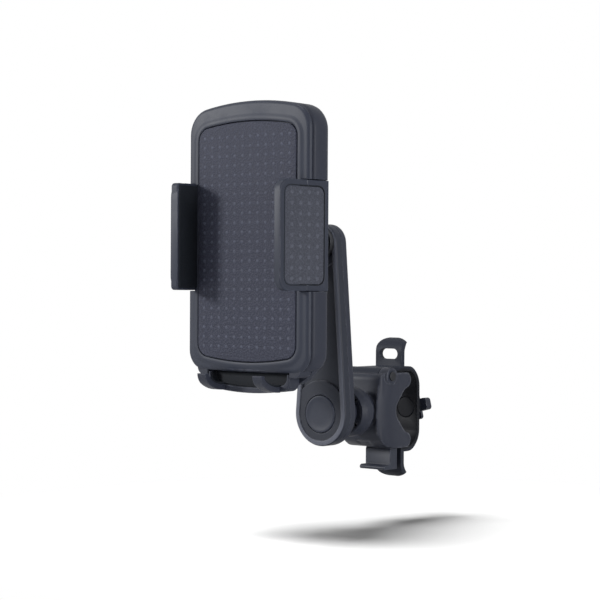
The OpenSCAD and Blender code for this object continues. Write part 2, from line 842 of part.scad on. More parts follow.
// Nylon shell between two spheres, open towards the arm and cut flat behind
module liner(r_out, r_in, cut) {
    translate([0, 0, arm_len]) along_y(ball_y) rotate_extrude() difference() {
        intersection() {
            circle(r_out);
            translate([0, -cut]) square([far, cut + liner_lip]);
        }
        circle(r_in);
    }
}

module socket_liner_inner() {
    color([0.75, 0.75, 0.72]) liner(liner1_out, liner1_in, 7);
}

module socket_liner_outer() {
    color([0.70, 0.70, 0.66]) liner(liner2_out, liner2_in, 7.8);
}

module ball_socket() {
    lip_y = ball_y + 5.5;
    color(shell_grey) difference() {
        translate([0, 0, arm_len]) along_y(ball_y) rotate_extrude() difference() {
            union() {
                translate([0, -ball_y - cradle_back]) square([socket_foot_r, socket_foot_t]);
                translate([0, -ball_y - cradle_back]) square([collar_out, cradle_back + lip_y]);
            }
            circle(socket_in);
        }
        at_ball() for (a = [0 : 45 : 135])
            rotate([0, a, 0]) translate([-0.6, -2, -far]) cube([1.2, far, 2 * far]);
        socket_screw_places() {
            along_y(-cradle_back - 1) cylinder(h = 9, r = socket_screw_r + pin_gap);
            along_y(-cradle_back + 1.4) cylinder(h = 9, r = 2.1);
        }
    }
}

module socket_screw_places() {
    spread = (collar_out + socket_foot_r) / 2;
    for (a = [45 : 90 : 315]) translate([spread * cos(a), 0, arm_len + spread * sin(a)]) children();
}

module socket_screws() {
    color(steel_grey) socket_screw_places() {
        along_y(-inner_back + 0.1) cylinder(h = inner_back - cradle_back + 1.5, r = socket_screw_r);
        along_y(-cradle_back + 1.4) cylinder(h = 1.2, r = 1.9);
    }
}

module ball_lock_ring() {
    back = -cradle_back + socket_foot_t + gap;
    front = ball_y + 5.5 + gap + 1.4;
    color(dark_grey) translate([0, 0, arm_len]) difference() {
        union() {
            along_y(back) cylinder(h = front - back - 1.2, r = ball_ring_r);
            along_y(front - 1.2) cylinder(h = 1.2, r1 = ball_ring_r, r2 = ball_ring_r - 1.2);
        }
        along_y(back - 1) cylinder(h = front - back - 0.4, r = collar_out + run_gap);
        along_y(back) cylinder(h = far, r = socket_in - 0.9);
        for (a = [0 : 360 / ring_grips : 359])
            rotate([0, a, 0]) translate([ball_ring_r + 1.5, 0, 0]) along_y(back - 1) cylinder(h = far, r = 2.4);
    }
}

// ---- cradle ----

// Upright outline with arched ends: straight sides, round corners, wide arcs
function arched(w, h, corner, arch) = let (
    cx = w / 2 - corner,
    base = h / 2 - arch,
    cz = base + sqrt(pow(arch - corner, 2) - cx * cx),
    turn = atan2(cz - base, cx))
    concat(
        arc([cx, cz], corner, 0, turn, 8), arc([0, base], arch, turn, 180 - turn, 12),
        arc([-cx, cz], corner, 180 - turn, 180, 8), arc([-cx, -cz], corner, 180, 180 + turn, 8),
        arc([0, -base], arch, 180 + turn, 360 - turn, 12), arc([cx, -cz], corner, 360 - turn, 360, 8));

module cradle_slab(y_front, depth, inset) {
    translate([0, 0, cradle_z]) front_slab(y_front, depth)
        polygon(arched(cradle_w - 2 * inset, cradle_h - 2 * inset, cradle_corner - inset,
            cradle_arch - inset));
}

module pad_slab(y_front, depth, grow) {
    translate([0, 0, pad_z]) front_slab(y_front, depth)
        polygon(arched(pad_w + 2 * grow, pad_h + 2 * grow, pad_corner + grow, cradle_arch));
}

// Openings in the cradle's sides that the jaws run in
module jaw_notches() {
    height = jaw_h + 2 * gap;
    for (s = [0, 1]) mirror([s, 0, 0])
        translate([notch_x, -far - cradle_front, cradle_z - height / 2]) cube([far, 2 * far, height]);
}

module cover_screw_places() {
    for (sx = [-1, 1], sz = [-1, 1])
        translate([sx * cover_screw_x, 0, cradle_z + sz * cover_screw_z]) children();
}

module front_cover() {
    color(shell_grey) difference() {
        union() {
            hull() {
                cradle_slab(-cradle_front + 0.5, sliver, 1.9);
                cradle_slab(-cradle_front + 1.2, sliver, 0.6);
                cradle_slab(-cradle_front + 2.2, cover_t - 2.2, 0);
            }
            pad_slab(-cradle_front, 1, platform_rim);
        }
        pad_slab(-cradle_front - 1, 0.7 + pad_t, pin_gap);
        jaw_notches();
        cover_screw_places() along_y(-cradle_split - 1.4) cylinder(h = 3, r = cover_screw_r + pin_gap);
    }
}

module cradle_pad() {
    color(rubber_grey) pad_slab(-cradle_front - 0.3, pad_t, 0);
}

module rear_blank() {
    hull() {
        cradle_slab(-cradle_split, 5.5, 0.3);
        cradle_slab(-cradle_back - 3, sliver, 1.1);
        cradle_slab(-cradle_back - 1, sliver, 2.4);
        cradle_slab(-cradle_back - sliver, sliver, 4.4);
    }
}

module rear_cavity() {
    difference() {
        cradle_slab(-cradle_split - 1, cradle_split + 1 - inner_back, wall + 2.6);
        for (s = [0, 1]) mirror([s, 0, 0])
            translate([notch_x - wall, -far - cradle_back, cradle_z - jaw_h / 2 - gap - wall])
                cube([far, 2 * far, jaw_h + 2 * gap + 2 * wall]);
        cover_screw_places() along_y(-far - cradle_back) cylinder(h = far * 2, r = cover_post_r);
    }
}

module rear_housing() {
    color(dark_grey) difference() {
        rear_blank();
        rear_cavity();
        jaw_notches();
        for (a = [0, 180]) turned(a)
            translate([0, -rack_front - gap, cradle_z + pitch_r + dedendum - gap])
                cube([far, rack_t + 2 * gap, rack_w + 2 * gap]);
        foot_room();
        cover_screw_places() {
            along_y(-cradle_split - 1) cylinder(h = far, r = cover_screw_r + pin_gap);
            along_y(-cradle_back - 1.5) cylinder(h = 3, r = 2.5);
        }
        socket_screw_places() along_y(-inner_back - 1) cylinder(h = 4, r = socket_screw_r + pin_gap);
        translate([0, 0, cradle_z]) along_y(-inner_back - 1) cylinder(h = 2.1, r = pin_r + pin_gap);
    }
    color(dark_grey) for (a = [0, 180]) turned(a)
        translate([-spring_post_far, 0, cradle_z + spring_z])
            along_y(-rack_front) cylinder(h = rack_front - inner_back + 0.5, r = 1);
}

// Half turn about the pinion, which takes the right jaw to the left one
module turned(a) {
    translate([0, 0, cradle_z]) rotate([0, a, 0]) translate([0, 0, -cradle_z]) children();
}

module foot_room() {
    translate([-foot_w / 2 - gap, -foot_front - gap, cradle_z - cradle_h])
        cube([foot_w + 2 * gap, foot_t + 2 * gap, cradle_h / 2 + 10]);
}

module cover_screws() {
    color(steel_grey) cover_screw_places() {
        along_y(-cradle_split - 1.3) cylinder(h = cradle_split + 1.3 - cradle_back - 1.4, r = cover_screw_r);
        along_y(-cradle_back - 1.5) cylinder(h = 1.3, r = 2.4);
    }
}

// ---- jaws ----

// Involute angle for a pressure angle
function inv(a) = tan(a) * 180 / PI - a;

module gear_outline() {
    base = pitch_r * cos(flank);
    outer = pitch_r + addendum;
    root = pitch_r - dedendum;
    half = 90 / pinion_teeth - backlash / 2 / pitch_r * 180 / PI / 2;
    steps = 5;
    rise = [for (i = [0 : steps]) let (r = base + (outer - base) * i / steps)
        r * [cos(half + inv(flank) - inv(acos(base / r))), sin(half + inv(flank) - inv(acos(base / r)))]];
    fall = [for (i = [steps : -1 : 0]) [rise[i].x, -rise[i].y]];
    circle(root);
    for (k = [0 : pinion_teeth - 1]) rotate(90 + k * 360 / pinion_teeth)
        polygon(concat([[root - 0.4, -rise[0].y]], [for (i = [0 : steps]) [rise[i].x, -rise[i].y]],
            [for (i = [steps : -1 : 0]) rise[i]], [[root - 0.4, rise[0].y]]));
}

module pinion() {
    color([0.72, 0.72, 0.7]) difference() {
        translate([0, 0, cradle_z]) front_slab(-rack_front, rack_t) gear_outline();
        translate([0, 0, cradle_z]) along_y(-rack_front - 1) cylinder(h = rack_t + 2, r = pin_r + run_gap);
    }
}

module pinion_pin() {
    color(steel_grey) translate([0, 0, cradle_z]) {
        along_y(-rack_front - gap) cylinder(h = rack_front + gap - inner_back + 1, r = pin_r);
        along_y(-rack_front - gap - 0.3) cylinder(h = 0.5, r = pin_r + 1.1);
    }
}

module rack_outline() {
    low = pitch_r + dedendum;
    slope = tan(flank);
    half_low = pitch / 4 - backlash / 4;
    translate([rack_in, low]) square([notch_x + gap + 2 - rack_in, rack_w]);
    for (k = [-5 : 1])
        translate([(k + 0.5) * pitch, pitch_r]) polygon([
            [-half_low - dedendum * slope, dedendum + 0.1], [-half_low + addendum * slope, -addendum],
            [half_low - addendum * slope, -addendum], [half_low + dedendum * slope, dedendum + 0.1]]);
}

module rack(a) {
    turned(a) translate([0, 0, cradle_z]) {
        front_slab(-rack_front, rack_t) rack_outline();
        translate([spring_post_x, 0, spring_z]) along_y(-rack_front) cylinder(h = rack_t, r = 1);
        front_slab(-rack_front, 1) translate([spring_post_x - 1.6, pitch_r + dedendum + rack_w - 0.1])
            square([3.2, spring_z - pitch_r - dedendum - rack_w + 1.4]);
    }
}

// Slanted wall of the right jaw, seen from above
module jaw_wall() {
    translate([jaw_tip_x, -cradle_front - jaw_reach, 0]) rotate([0, 0, -jaw_draft])
        translate([-jaw_t, 0, cradle_z - jaw_h / 2]) cube([jaw_t, jaw_len, jaw_h]);
}

module jaw_side_view() {
    y0 = -cradle_front - jaw_reach;
    hull() {
        translate([y0 + jaw_corner, cradle_z - jaw_h / 2 + jaw_corner]) circle(jaw_corner, $fn = 32);
        translate([y0 + jaw_corner, cradle_z + jaw_h / 2 - jaw_corner]) circle(jaw_corner, $fn = 32);
        translate([y0 + jaw_len - 3, cradle_z - jaw_h / 2]) square([2.6, jaw_h]);
    }
}

module jaw_solid() {
    difference() {
        intersection() {
            union() {
                jaw_wall();
                translate([notch_x + gap, -cradle_front + 1, cradle_z - jaw_h / 2])
                    cube([jaw_t - 1, cradle_t - 1.4, jaw_h]);
            }
            side_slab(2 * far) jaw_side_view();
        }
        translate([0, -cradle_front - gap, 0]) cube([notch_x + gap, 2 * cradle_t, 2 * cradle_h]);
        grip_panel(0, grip_t);
        lip_panel(0, lip_pad_t / 2);
        translate([notch_x - 1, -rack_front - pin_gap, cradle_z + pitch_r + dedendum - pin_gap])
            cube([3 + gap, rack_t + 2 * pin_gap, rack_w + 2 * pin_gap]);
    }
}

// Panel let into the jaw's outer face
module grip_panel(shrink, depth) {
    translate([jaw_tip_x, -cradle_front - jaw_reach, cradle_z]) rotate([0, 0, -jaw_draft])
        translate([-depth, grip_margin + shrink, 0]) rotate([90, 0, 90]) linear_extrude(depth + 1)
            translate([(jaw_len - 2 * grip_margin) / 2 - shrink, 0])
                rounded([jaw_len - 2 * grip_margin - 2 * shrink, jaw_h - 2 * grip_margin - 2 * shrink], 3.6);
}

// Rubber let into the inner face of the jaw's lip
module lip_panel(shrink, depth) {
    length = jaw_reach - 3.4;
    translate([jaw_tip_x, -cradle_front - jaw_reach, cradle_z]) rotate([0, 0, -jaw_draft])
        translate([-jaw_t - lip_pad_t / 2, 1.8 + shrink, 0]) rotate([90, 0, 90])
            linear_extrude(lip_pad_t / 2 + depth)
                translate([length / 2 - shrink, 0]) rounded([length - 2 * shrink, jaw_h - 6 - 2 * shrink], 3.5);
}

module grip() {
    intersection() {
        grip_panel(panel_groove, grip_t);
        translate([jaw_tip_x, -cradle_front - jaw_reach, cradle_z]) rotate([0, 0, -jaw_draft])
            translate([-far, 0, -far]) cube([far, 2 * far, 2 * far]);
    }
}

module right_jaw() {
    color(shell_grey) jaw_solid();
}

module right_rack() {
    color([0.72, 0.72, 0.7]) rack(0);
}

module right_jaw_pad() {
    color(rubber_grey) lip_panel(pin_gap, lip_pad_t / 2 - pin_gap);
}

module right_jaw_grip() {
    color(rubber_grey) grip();
}

module left_jaw() {
    color(shell_grey) turned(180) jaw_solid();
}

module left_rack() {
    color([0.72, 0.72, 0.7]) rack(180);
}

module left_jaw_pad() {
    color(rubber_grey) turned(180) lip_panel(pin_gap, lip_pad_t / 2 - pin_gap);
}

module left_jaw_grip() {
    color(rubber_grey) turned(180) grip();
}

// Tension spring between a post on the housing and a post on the rack
module jaw_spring() {
    spring_y = -rack_front + 1.5;
    x0 = -spring_post_far + spring_end;
    x1 = spring_post_x - spring_end;
    steps = spring_turns * 8;
    sides = 5;
    points = [for (i = [0 : steps], k = [0 : sides - 1])
        let (a = 45 * i, b = 360 * k / sides, r = spring_r + wire_r * cos(b))
        [x0 + (x1 - x0) * i / steps + wire_r * sin(b), r * cos(a), r * sin(a)]];
    skin = [for (i = [0 : steps - 1], k = [0 : sides - 1])
        let (p = i * sides + k, q = i * sides + (k + 1) % sides)
        each [[p, q, q + sides], [p, q + sides, p + sides]]];
    caps = [[for (k = [sides - 1 : -1 : 0]) k], [for (k = [0 : sides - 1]) steps * sides + k]];
    translate([0, spring_y, cradle_z + spring_z]) {
        polyhedron(points, concat(skin, caps), convexity = 10);
        for (end = [[-spring_post_far, 1], [spring_post_x, -1]]) translate([end[0], 0, 0]) {
            along_y(-wire_r) ring(1.75, 1.05, 2 * wire_r);
            x_rod(min(end[1] * 1.4, end[1] * (spring_end + 0.1)), max(end[1] * 1.4, end[1] * (spring_end + 0.1)),
                0, spring_r * 0, wire_r);
            x_rod(min(end[1] * (spring_end - 0.1), end[1] * (spring_end + 0.1)),
                max(end[1] * (spring_end - 0.1), end[1] * (spring_end + 0.1)), 0, 0, spring_r + wire_r * 0.8);
        }
    }
}

module right_spring() {
    color(steel_grey) jaw_spring();
}

module left_spring() {
    color(steel_grey) turned(180) jaw_spring();
}

// ---- foot ----

// Path along a hook, from its tip to the foot block, at a depth below its outer face
function hook_path(depth) = let (
    first = [-cradle_front - hook_reach + hook_bend, hook_z + hook_rise],
    second = first + (hook_bend - hook_sweep) * [cos(hook_change), sin(hook_change)])
    concat(arc(first, hook_bend - depth, 180, hook_change, 8),
        arc(second, hook_sweep - depth, hook_change, 270, 6), [[-block_front + 1, hook_z + depth]]);

module hook_strip(inner, outer, from = 0) {
    low = hook_path(outer);
    high = hook_path(inner);
    last = len(low) - 1;
    polygon(concat([for (i = [from : last]) low[i]], [for (i = [last : -1 : from]) high[i]]));
}

module foot_block() {
    top = foot_drop - 2 * gap;
    room = [pocket_w, foot_drop];
    difference() {
        front_slab(-block_front, block_front - foot_front + foot_t) intersection() {
            translate([0, foot_z + foot_w / 2]) polygon(arched(foot_w, foot_w, foot_corner, cradle_arch));
            translate([-foot_w / 2, foot_z - 1]) square([foot_w, top + 1]);
        }
        for (s = [-1, 1]) front_slab(-block_front - 1, block_front + 1 - foot_front)
            translate([s * pocket_x, foot_z + rail_t + room.y / 2]) rounded(room, 1.5);
    }
}

module foot_slide() {
    color(shell_grey) {
        foot_block();
        front_slab(-foot_front, foot_t)
            translate([-foot_stem_w / 2, foot_z + foot_corner])
                square([foot_stem_w, foot_drop + foot_in - foot_corner]);
        for (s = [-1, 1]) translate([s * hook_gap / 2, 0, 0]) side_slab(hook_w) hook_strip(hook_t, 0);
    }
}

module foot_pads() {
    color(rubber_grey) for (s = [-1, 1]) translate([s * hook_gap / 2, 0, 0])
        side_slab(hook_w - 1) hook_strip(hook_t + hook_pad_t, hook_t, 4);
}

clamp_body();
saddle_pad();
yoke_pin();
latch_pin();
latch_spring();
pivot_bolt();
pivot_nut();
yoke();
pressure_pad();
clamp_screw();
clamp_knob();
latch_lever();
knuckle_lock_ring();
arm_front_cover();
arm_rear_shell();
knuckle_cap();
arm_screws();
ball_stud();
stud_screw();
socket_liner_inner();
socket_liner_outer();
ball_socket();
ball_lock_ring();
rear_housing();
front_cover();
cradle_pad();
cover_screws();
socket_screws();
pinion();
pinion_pin();
right_jaw();
right_rack();
right_jaw_pad();
right_jaw_grip();
left_jaw();
left_rack();
left_jaw_pad();
left_jaw_grip();
right_spring();
left_spring();
foot_slide();
foot_pads();
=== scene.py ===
"""Looks of the phone handlebar mount: finishes, soft edges, springs, threads, light, camera."""
import json
from math import acos, asin, atan2, cos, degrees, pi, radians, sin, sqrt

import bmesh
import bpy
from mathutils import Matrix, Vector


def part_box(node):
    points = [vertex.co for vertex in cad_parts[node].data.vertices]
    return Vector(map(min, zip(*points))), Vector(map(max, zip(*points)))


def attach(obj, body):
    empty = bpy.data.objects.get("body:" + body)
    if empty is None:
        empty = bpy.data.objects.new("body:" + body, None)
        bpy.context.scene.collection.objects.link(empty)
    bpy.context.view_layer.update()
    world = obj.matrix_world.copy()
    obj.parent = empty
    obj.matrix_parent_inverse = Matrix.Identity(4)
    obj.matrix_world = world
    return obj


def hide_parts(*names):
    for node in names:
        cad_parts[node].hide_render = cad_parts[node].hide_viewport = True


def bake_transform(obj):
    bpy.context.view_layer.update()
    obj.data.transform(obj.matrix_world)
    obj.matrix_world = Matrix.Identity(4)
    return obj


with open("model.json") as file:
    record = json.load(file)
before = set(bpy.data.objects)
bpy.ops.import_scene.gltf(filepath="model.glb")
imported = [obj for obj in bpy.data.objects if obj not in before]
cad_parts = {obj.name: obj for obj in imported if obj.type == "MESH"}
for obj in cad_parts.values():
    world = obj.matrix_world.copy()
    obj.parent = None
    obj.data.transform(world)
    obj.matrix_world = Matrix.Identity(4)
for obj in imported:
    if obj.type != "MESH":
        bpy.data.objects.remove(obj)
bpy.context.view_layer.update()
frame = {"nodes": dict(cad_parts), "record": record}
MM = 0.001
parts = frame["nodes"]
body_of = {node: body for body, members in frame["record"]["behaviour"]["bodies"].items()
           for node in members}


def corners(node):
    """Lowest and highest corner of a part, in millimetres."""
    low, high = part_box(node)
    return low / MM, high / MM


# ---- finishes ----

class Wire:
    """One value inside a finish; sums on it add the nodes that work them out."""

    def __init__(self, finish, socket):
        self.finish, self.socket = finish, socket

    def sum(self, operation, *values, **settings):
        return self.finish.add("ShaderNodeMath", {"operation": operation, **settings}, list(values))

    def __add__(self, other): return self.sum("ADD", self, other)
    def __radd__(self, other): return self.sum("ADD", other, self)
    def __sub__(self, other): return self.sum("SUBTRACT", self, other)
    def __rsub__(self, other): return self.sum("SUBTRACT", other, self)
    def __mul__(self, other): return self.sum("MULTIPLY", self, other)
    def __rmul__(self, other): return self.sum("MULTIPLY", other, self)
    def held(self): return self.sum("ADD", self, 0.0, use_clamp=True)


class Finish:
    """A material, or the world, and the few calls that build it."""

    def __init__(self, name, owner=None):
        self.material = owner or bpy.data.materials.new(name)
        self.material.use_nodes = True
        self.tree = self.material.node_tree
        self.tree.nodes.clear()

    def add(self, kind, settings=None, values=None, out=0):
        node = self.tree.nodes.new(kind)
        for key, value in (settings or {}).items():
            setattr(node, key, value)
        pairs = values.items() if isinstance(values, dict) else enumerate(values or [])
        for key, value in pairs:
            if isinstance(value, Wire):
                self.tree.links.new(value.socket, node.inputs[key])
            elif isinstance(value, tuple) and node.inputs[key].type == "RGBA":
                node.inputs[key].default_value = (*value, 1)
            else:
                node.inputs[key].default_value = value
        return Wire(self, node.outputs[out]) if node.outputs else None

    def place(self):
        return self.add("ShaderNodeTexCoord", out="Object")

    def noise(self, at, scale, detail=3.0, rough=0.55):
        return self.add("ShaderNodeTexNoise", None,
                        {"Vector": at, "Scale": scale, "Detail": detail, "Roughness": rough}, "Fac")

    def pebbles(self, at, scale):
        return self.add("ShaderNodeTexVoronoi", {"feature": "SMOOTH_F1"},
                        {"Vector": at, "Scale": scale}, "Distance")

    def vector(self, operation, one, two=None, out="Value"):
        return self.add("ShaderNodeVectorMath", {"operation": operation},
                        [one] if two is None else [one, two], out)

    def step(self, value, low, high):
        """0 below low, 1 above high, with a smooth rise between them."""
        return self.add("ShaderNodeMapRange", {"interpolation_type": "SMOOTHSTEP", "clamp": True},
                        {"Value": value, "From Min": low, "From Max": high}, "Result")

    def tint(self, amount, one, two):
        return self.add("ShaderNodeMix", {"data_type": "RGBA"}, {0: amount, 6: one, 7: two}, 2)

    def light_path(self, ray):
        return self.add("ShaderNodeLightPath", out=ray)

    def edge_mask(self, radius):
        """1 along outer edges, 0 on flats, with the rounded normal that shows it."""
        soft = self.add("ShaderNodeBevel", {"samples": 6}, {"Radius": radius})
        true = self.add("ShaderNodeNewGeometry", out="Normal")
        return self.step(1 - self.vector("DOT_PRODUCT", soft, true), 0.01, 0.16), soft

    def bump(self, height, depth, normal):
        return self.add("ShaderNodeBump", None, {"Height": height, "Distance": depth,
                                                 "Strength": 1.0, "Normal": normal})

    def done(self, **sockets):
        shader = self.add("ShaderNodeBsdfPrincipled", None,
                          {key.replace("_", " "): value for key, value in sockets.items()})
        self.add("ShaderNodeOutputMaterial", None, {"Surface": shader})
        return self.material


# Sizes of the marks in the finishes, as repeats in a metre
CLOUDS, RUBBER_CLOUDS, STEEL_CLOUDS = 38, 45, 130
SPECKS, RUBBER_SPECKS, PEBBLES = 2600, 2300, 1250
SMUDGES, RUBBING, GRAIN = 95, 260, 1500
TOOL_MARKS, GRIME = 900, 420
# Depths of the marks, in metres
MOULD_DEPTH, PEBBLE_DEPTH, DULL_DEPTH, TOOL_DEPTH = 0.00005, 0.00016, 0.00004, 0.000012
# Radii that edges look rounded to, in metres
MOULDED_EDGE, BODY_EDGE, RUBBER_EDGE, STEEL_EDGE = 0.0007, 0.0018, 0.0005, 0.0003
# Where the painted highlight on the arm's front rim fades out behind its face, and where the
# painted shade inside the yoke sets in
RIM_HIGHLIGHT_FROM, RIM_HIGHLIGHT_TO, PAINTED_SHADE_FADE = 0.00012, 0.00042, 0.002


def shade(colour, share):
    return tuple(c * share for c in colour)


def moulded(name, colour, lift, rough=0.5, grain=1.0, edge=MOULDED_EDGE, rim=None, painted_shade_r=None):
    """Fine-grained moulded plastic, paler and smoother along its edges, partly from wear and partly
    as a painted highlight.

    rim is the depth of a front whose rim is painted pale all along as a highlight; the last
    argument is the radius round the handlebar's axis inside which the plastic is painted darker as
    shade.
    """
    f = Finish(name)
    at = f.place()
    cloud = f.noise(at, CLOUDS, 2)
    speck = f.noise(at, SPECKS, 2)
    smudge = f.step(f.noise(at, SMUDGES, 4, 0.62), 0.52, 0.74)
    # Edges are painted paler, partly as wear and partly as a painted highlight on their rounds.
    edge_band, soft = f.edge_mask(edge)
    wear_and_highlight = (edge_band * f.step(f.noise(at, RUBBING), 0.34, 0.62)).held()
    # A front rim, if given, is painted pale all along as a highlight.
    if rim:
        depth = f.add("ShaderNodeSeparateXYZ", None, [at], "Y")
        wear_and_highlight = (wear_and_highlight + (1 - f.step(depth, rim + RIM_HIGHLIGHT_FROM, rim + RIM_HIGHLIGHT_TO))).held()
    base = f.tint((cloud - 0.5) * 0.9 + (speck - 0.5) * 0.5 + 0.5,
                  shade(colour, 0.86), shade(colour, 1.14))
    base = f.tint(smudge * 0.16, base, shade(colour, 1.35))
    base = f.tint(wear_and_highlight * 0.75, base, lift)
    # Painted shade: inside the given radius round the handlebar's axis the plastic is darkened, as
    # the yoke's inside lies in shade.
    if painted_shade_r:
        away = f.vector("LENGTH", f.vector("MULTIPLY", at, (0, 1, 1), "Vector"))
        base = f.tint(0.9 - f.step(away, painted_shade_r - PAINTED_SHADE_FADE, painted_shade_r) * 0.9, base, shade(colour, 0.2))
    height = f.noise(at, GRAIN) * 0.6 + speck * 0.4
    return f.done(Base_Color=base,
                  Roughness=rough + (cloud - 0.5) * 0.12 - wear_and_highlight * 0.12 + smudge * 0.05,
                  Normal=f.bump(height, MOULD_DEPTH * grain, soft),
                  Specular_IOR_Level=0.12 if painted_shade_r else 0.24)


def rubbery(name, colour, lift, pattern=True, rough=0.62):
    """Soft rubber, darker in the hollows of its grain; with a pattern it has a pebbled leather
    grain.
    """
    f = Finish(name)
    at = f.place()
    cloud = f.noise(at, RUBBER_CLOUDS, 2)
    speck = f.noise(at, RUBBER_SPECKS, 2)
    pebble = f.step(f.pebbles(at, PEBBLES), 0.12, 0.62)
    edge_band, soft = f.edge_mask(RUBBER_EDGE)
    base = f.tint((cloud - 0.5) * 0.5 + (speck - 0.5) * 3.0 + 0.5,
                  shade(colour, 0.8), shade(colour, 1.2))
    # The raised grain is coloured paler and the hollows of the grain darker.
    base = f.tint((1 - pebble) * (0.26 if pattern else 0.12), base, lift)
    base = f.tint(pebble * (0.26 if pattern else 0.0), base, shade(colour, 0.5))
    base = f.tint(edge_band * 0.45, base, lift)
    height = (1 - pebble) * (0.9 if pattern else 0.3) + speck * 0.25
    return f.done(Base_Color=base, Roughness=rough + (speck - 0.5) * 0.16 - edge_band * 0.08,
                  Normal=f.bump(height, PEBBLE_DEPTH if pattern else DULL_DEPTH, soft),
                  Specular_IOR_Level=0.2)


def metal(name, colour, rough, brushed=(1, 1, 14)):
    """Plated or turned metal with fine tool marks, darker where oil and dust settle."""
    f = Finish(name)
    at = f.place()
    streak = f.noise(f.vector("MULTIPLY", at, brushed, "Vector"), TOOL_MARKS, 3, 0.7)
    cloud = f.noise(at, STEEL_CLOUDS)
    grime = f.step(f.noise(at, GRIME, 4, 0.65), 0.5, 0.78)
    edge_band, soft = f.edge_mask(STEEL_EDGE)
    base = f.tint(cloud, shade(colour, 0.8), colour)
    base = f.tint(grime * 0.35, base, shade(colour, 0.45))
    base = f.tint(edge_band * 0.5, base, tuple(min(1, c) for c in shade(colour, 1.5)))
    return f.done(Base_Color=base, Metallic=1 - grime * 0.2,
                  Roughness=rough + (streak - 0.5) * 0.22 + grime * 0.2 - edge_band * 0.1,
                  Normal=f.bump(streak, TOOL_DEPTH, soft))


navy = moulded("navy_shell", (0.020, 0.024, 0.038), (0.088, 0.096, 0.132))
charcoal = moulded("charcoal_shell", (0.017, 0.020, 0.032), (0.075, 0.082, 0.11),
                   rough=0.54)
# The arm's raised front rim is painted pale as a highlight.
arm_shell_grey = moulded("arm_shell_grey", (0.014, 0.017, 0.027), (0.115, 0.123, 0.155),
                         rim=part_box("arm_front_cover")[0].y)
# Its wide, paler edge band is partly wear and partly a painted highlight along the rounded fronts
# of the cheeks.
clamp_charcoal = moulded("clamp_charcoal", (0.017, 0.020, 0.032), (0.1, 0.108, 0.138),
                         edge=BODY_EDGE)
grey_lever = moulded("lever_nylon", (0.024, 0.028, 0.042), (0.1, 0.108, 0.14),
                     rough=0.48, grain=0.8)
knob_nylon = moulded("knob_nylon", (0.012, 0.014, 0.024), (0.07, 0.077, 0.1),
                     rough=0.46, grain=0.7)
pad_rubber = rubbery("pad_rubber", (0.028, 0.031, 0.050), (0.062, 0.067, 0.095))
# The yoke and the pressure pad are darkened round the handlebar as painted shade.
yoke_nylon = moulded("yoke_nylon", (0.017, 0.020, 0.030), (0.06, 0.066, 0.088),
                     rough=0.52, grain=0.8, painted_shade_r=0.0215)
# The pad's dots are coloured paler than the pad as a painted highlight on their domes.
highlit_pad_dots = rubbery("highlit_pad_dots", (0.053, 0.058, 0.084), (0.09, 0.097, 0.13),
                     pattern=False)
grip_rubber = rubbery("grip_rubber", (0.047, 0.051, 0.068), (0.08, 0.086, 0.112))
# The grip's dots are coloured paler than the grip as a painted highlight on their domes.
highlit_grip_dots = rubbery("highlit_grip_dots", (0.068, 0.073, 0.096), (0.11, 0.118, 0.15),
                          pattern=False)
# Near-black rubber for the lips and pads, also used for a sheet and beads of painted shade.
lip_and_painted_shade_rubber = rubbery("lip_and_painted_shade_rubber", (0.006, 0.008, 0.012), (0.024, 0.027, 0.036),
                     pattern=False, rough=0.7)
saddle_rubber = rubbery("saddle_rubber", (0.005, 0.006, 0.011), (0.034, 0.038, 0.05),
                        pattern=False, rough=0.66)
pale_nylon = moulded("pale_nylon", (0.52, 0.51, 0.47), (0.66, 0.65, 0.6),
                     rough=0.42, grain=0.4)
zinc_steel = metal("zinc_steel", (0.56, 0.57, 0.58), rough=0.34)
black_steel = metal("black_steel", (0.05, 0.052, 0.058), rough=0.42)
spring_steel = metal("spring_steel", (0.62, 0.61, 0.58), rough=0.26, brushed=(1, 1, 1))

finish_of = {node: finish for finish, nodes in (
    (navy, "knuckle_cap front_cover right_jaw left_jaw"),
    (charcoal, "knuckle_lock_ring arm_rear_shell ball_socket ball_lock_ring rear_housing "
               "foot_slide"),
    (arm_shell_grey, "arm_front_cover"),
    (clamp_charcoal, "clamp_body"),
    (grey_lever, "latch_lever"),
    (knob_nylon, "clamp_knob"),
    (yoke_nylon, "yoke pressure_pad"),
    (pad_rubber, "cradle_pad"),
    (grip_rubber, "right_jaw_grip left_jaw_grip"),
    (lip_and_painted_shade_rubber, "right_jaw_pad left_jaw_pad foot_pads"),
    (saddle_rubber, "saddle_pad"),
    (pale_nylon, "socket_liner_inner socket_liner_outer right_rack left_rack pinion"),
    (black_steel, "ball_stud yoke_pin latch_pin"),
    (spring_steel, "latch_spring right_spring left_spring"),
) for node in nodes.split()}


# ---- making pieces ----

def show(name, bm, node, finish=None, stands_for=None, angle=34, rides=True):
    """Turns a mesh in millimetres into a piece that rides with a part's body.

    Edges sharper than the angle, in degrees, stay sharp.
    """
    bmesh.ops.scale(bm, vec=(MM,) * 3, verts=bm.verts)
    bmesh.ops.recalc_face_normals(bm, faces=bm.faces)
    mesh = bpy.data.meshes.new(name)
    bm.to_mesh(mesh)
    bm.free()
    for face in mesh.polygons:
        face.use_smooth = True
    mesh.set_sharp_from_angle(angle=radians(angle))
    piece = bpy.data.objects.new(name, mesh)
    bpy.context.scene.collection.objects.link(piece)
    finish = finish or finish_of[node]
    mesh.materials.append(finish)
    if rides:
        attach(piece, body_of[node])
    if stands_for:
        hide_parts(*stands_for)
    return piece


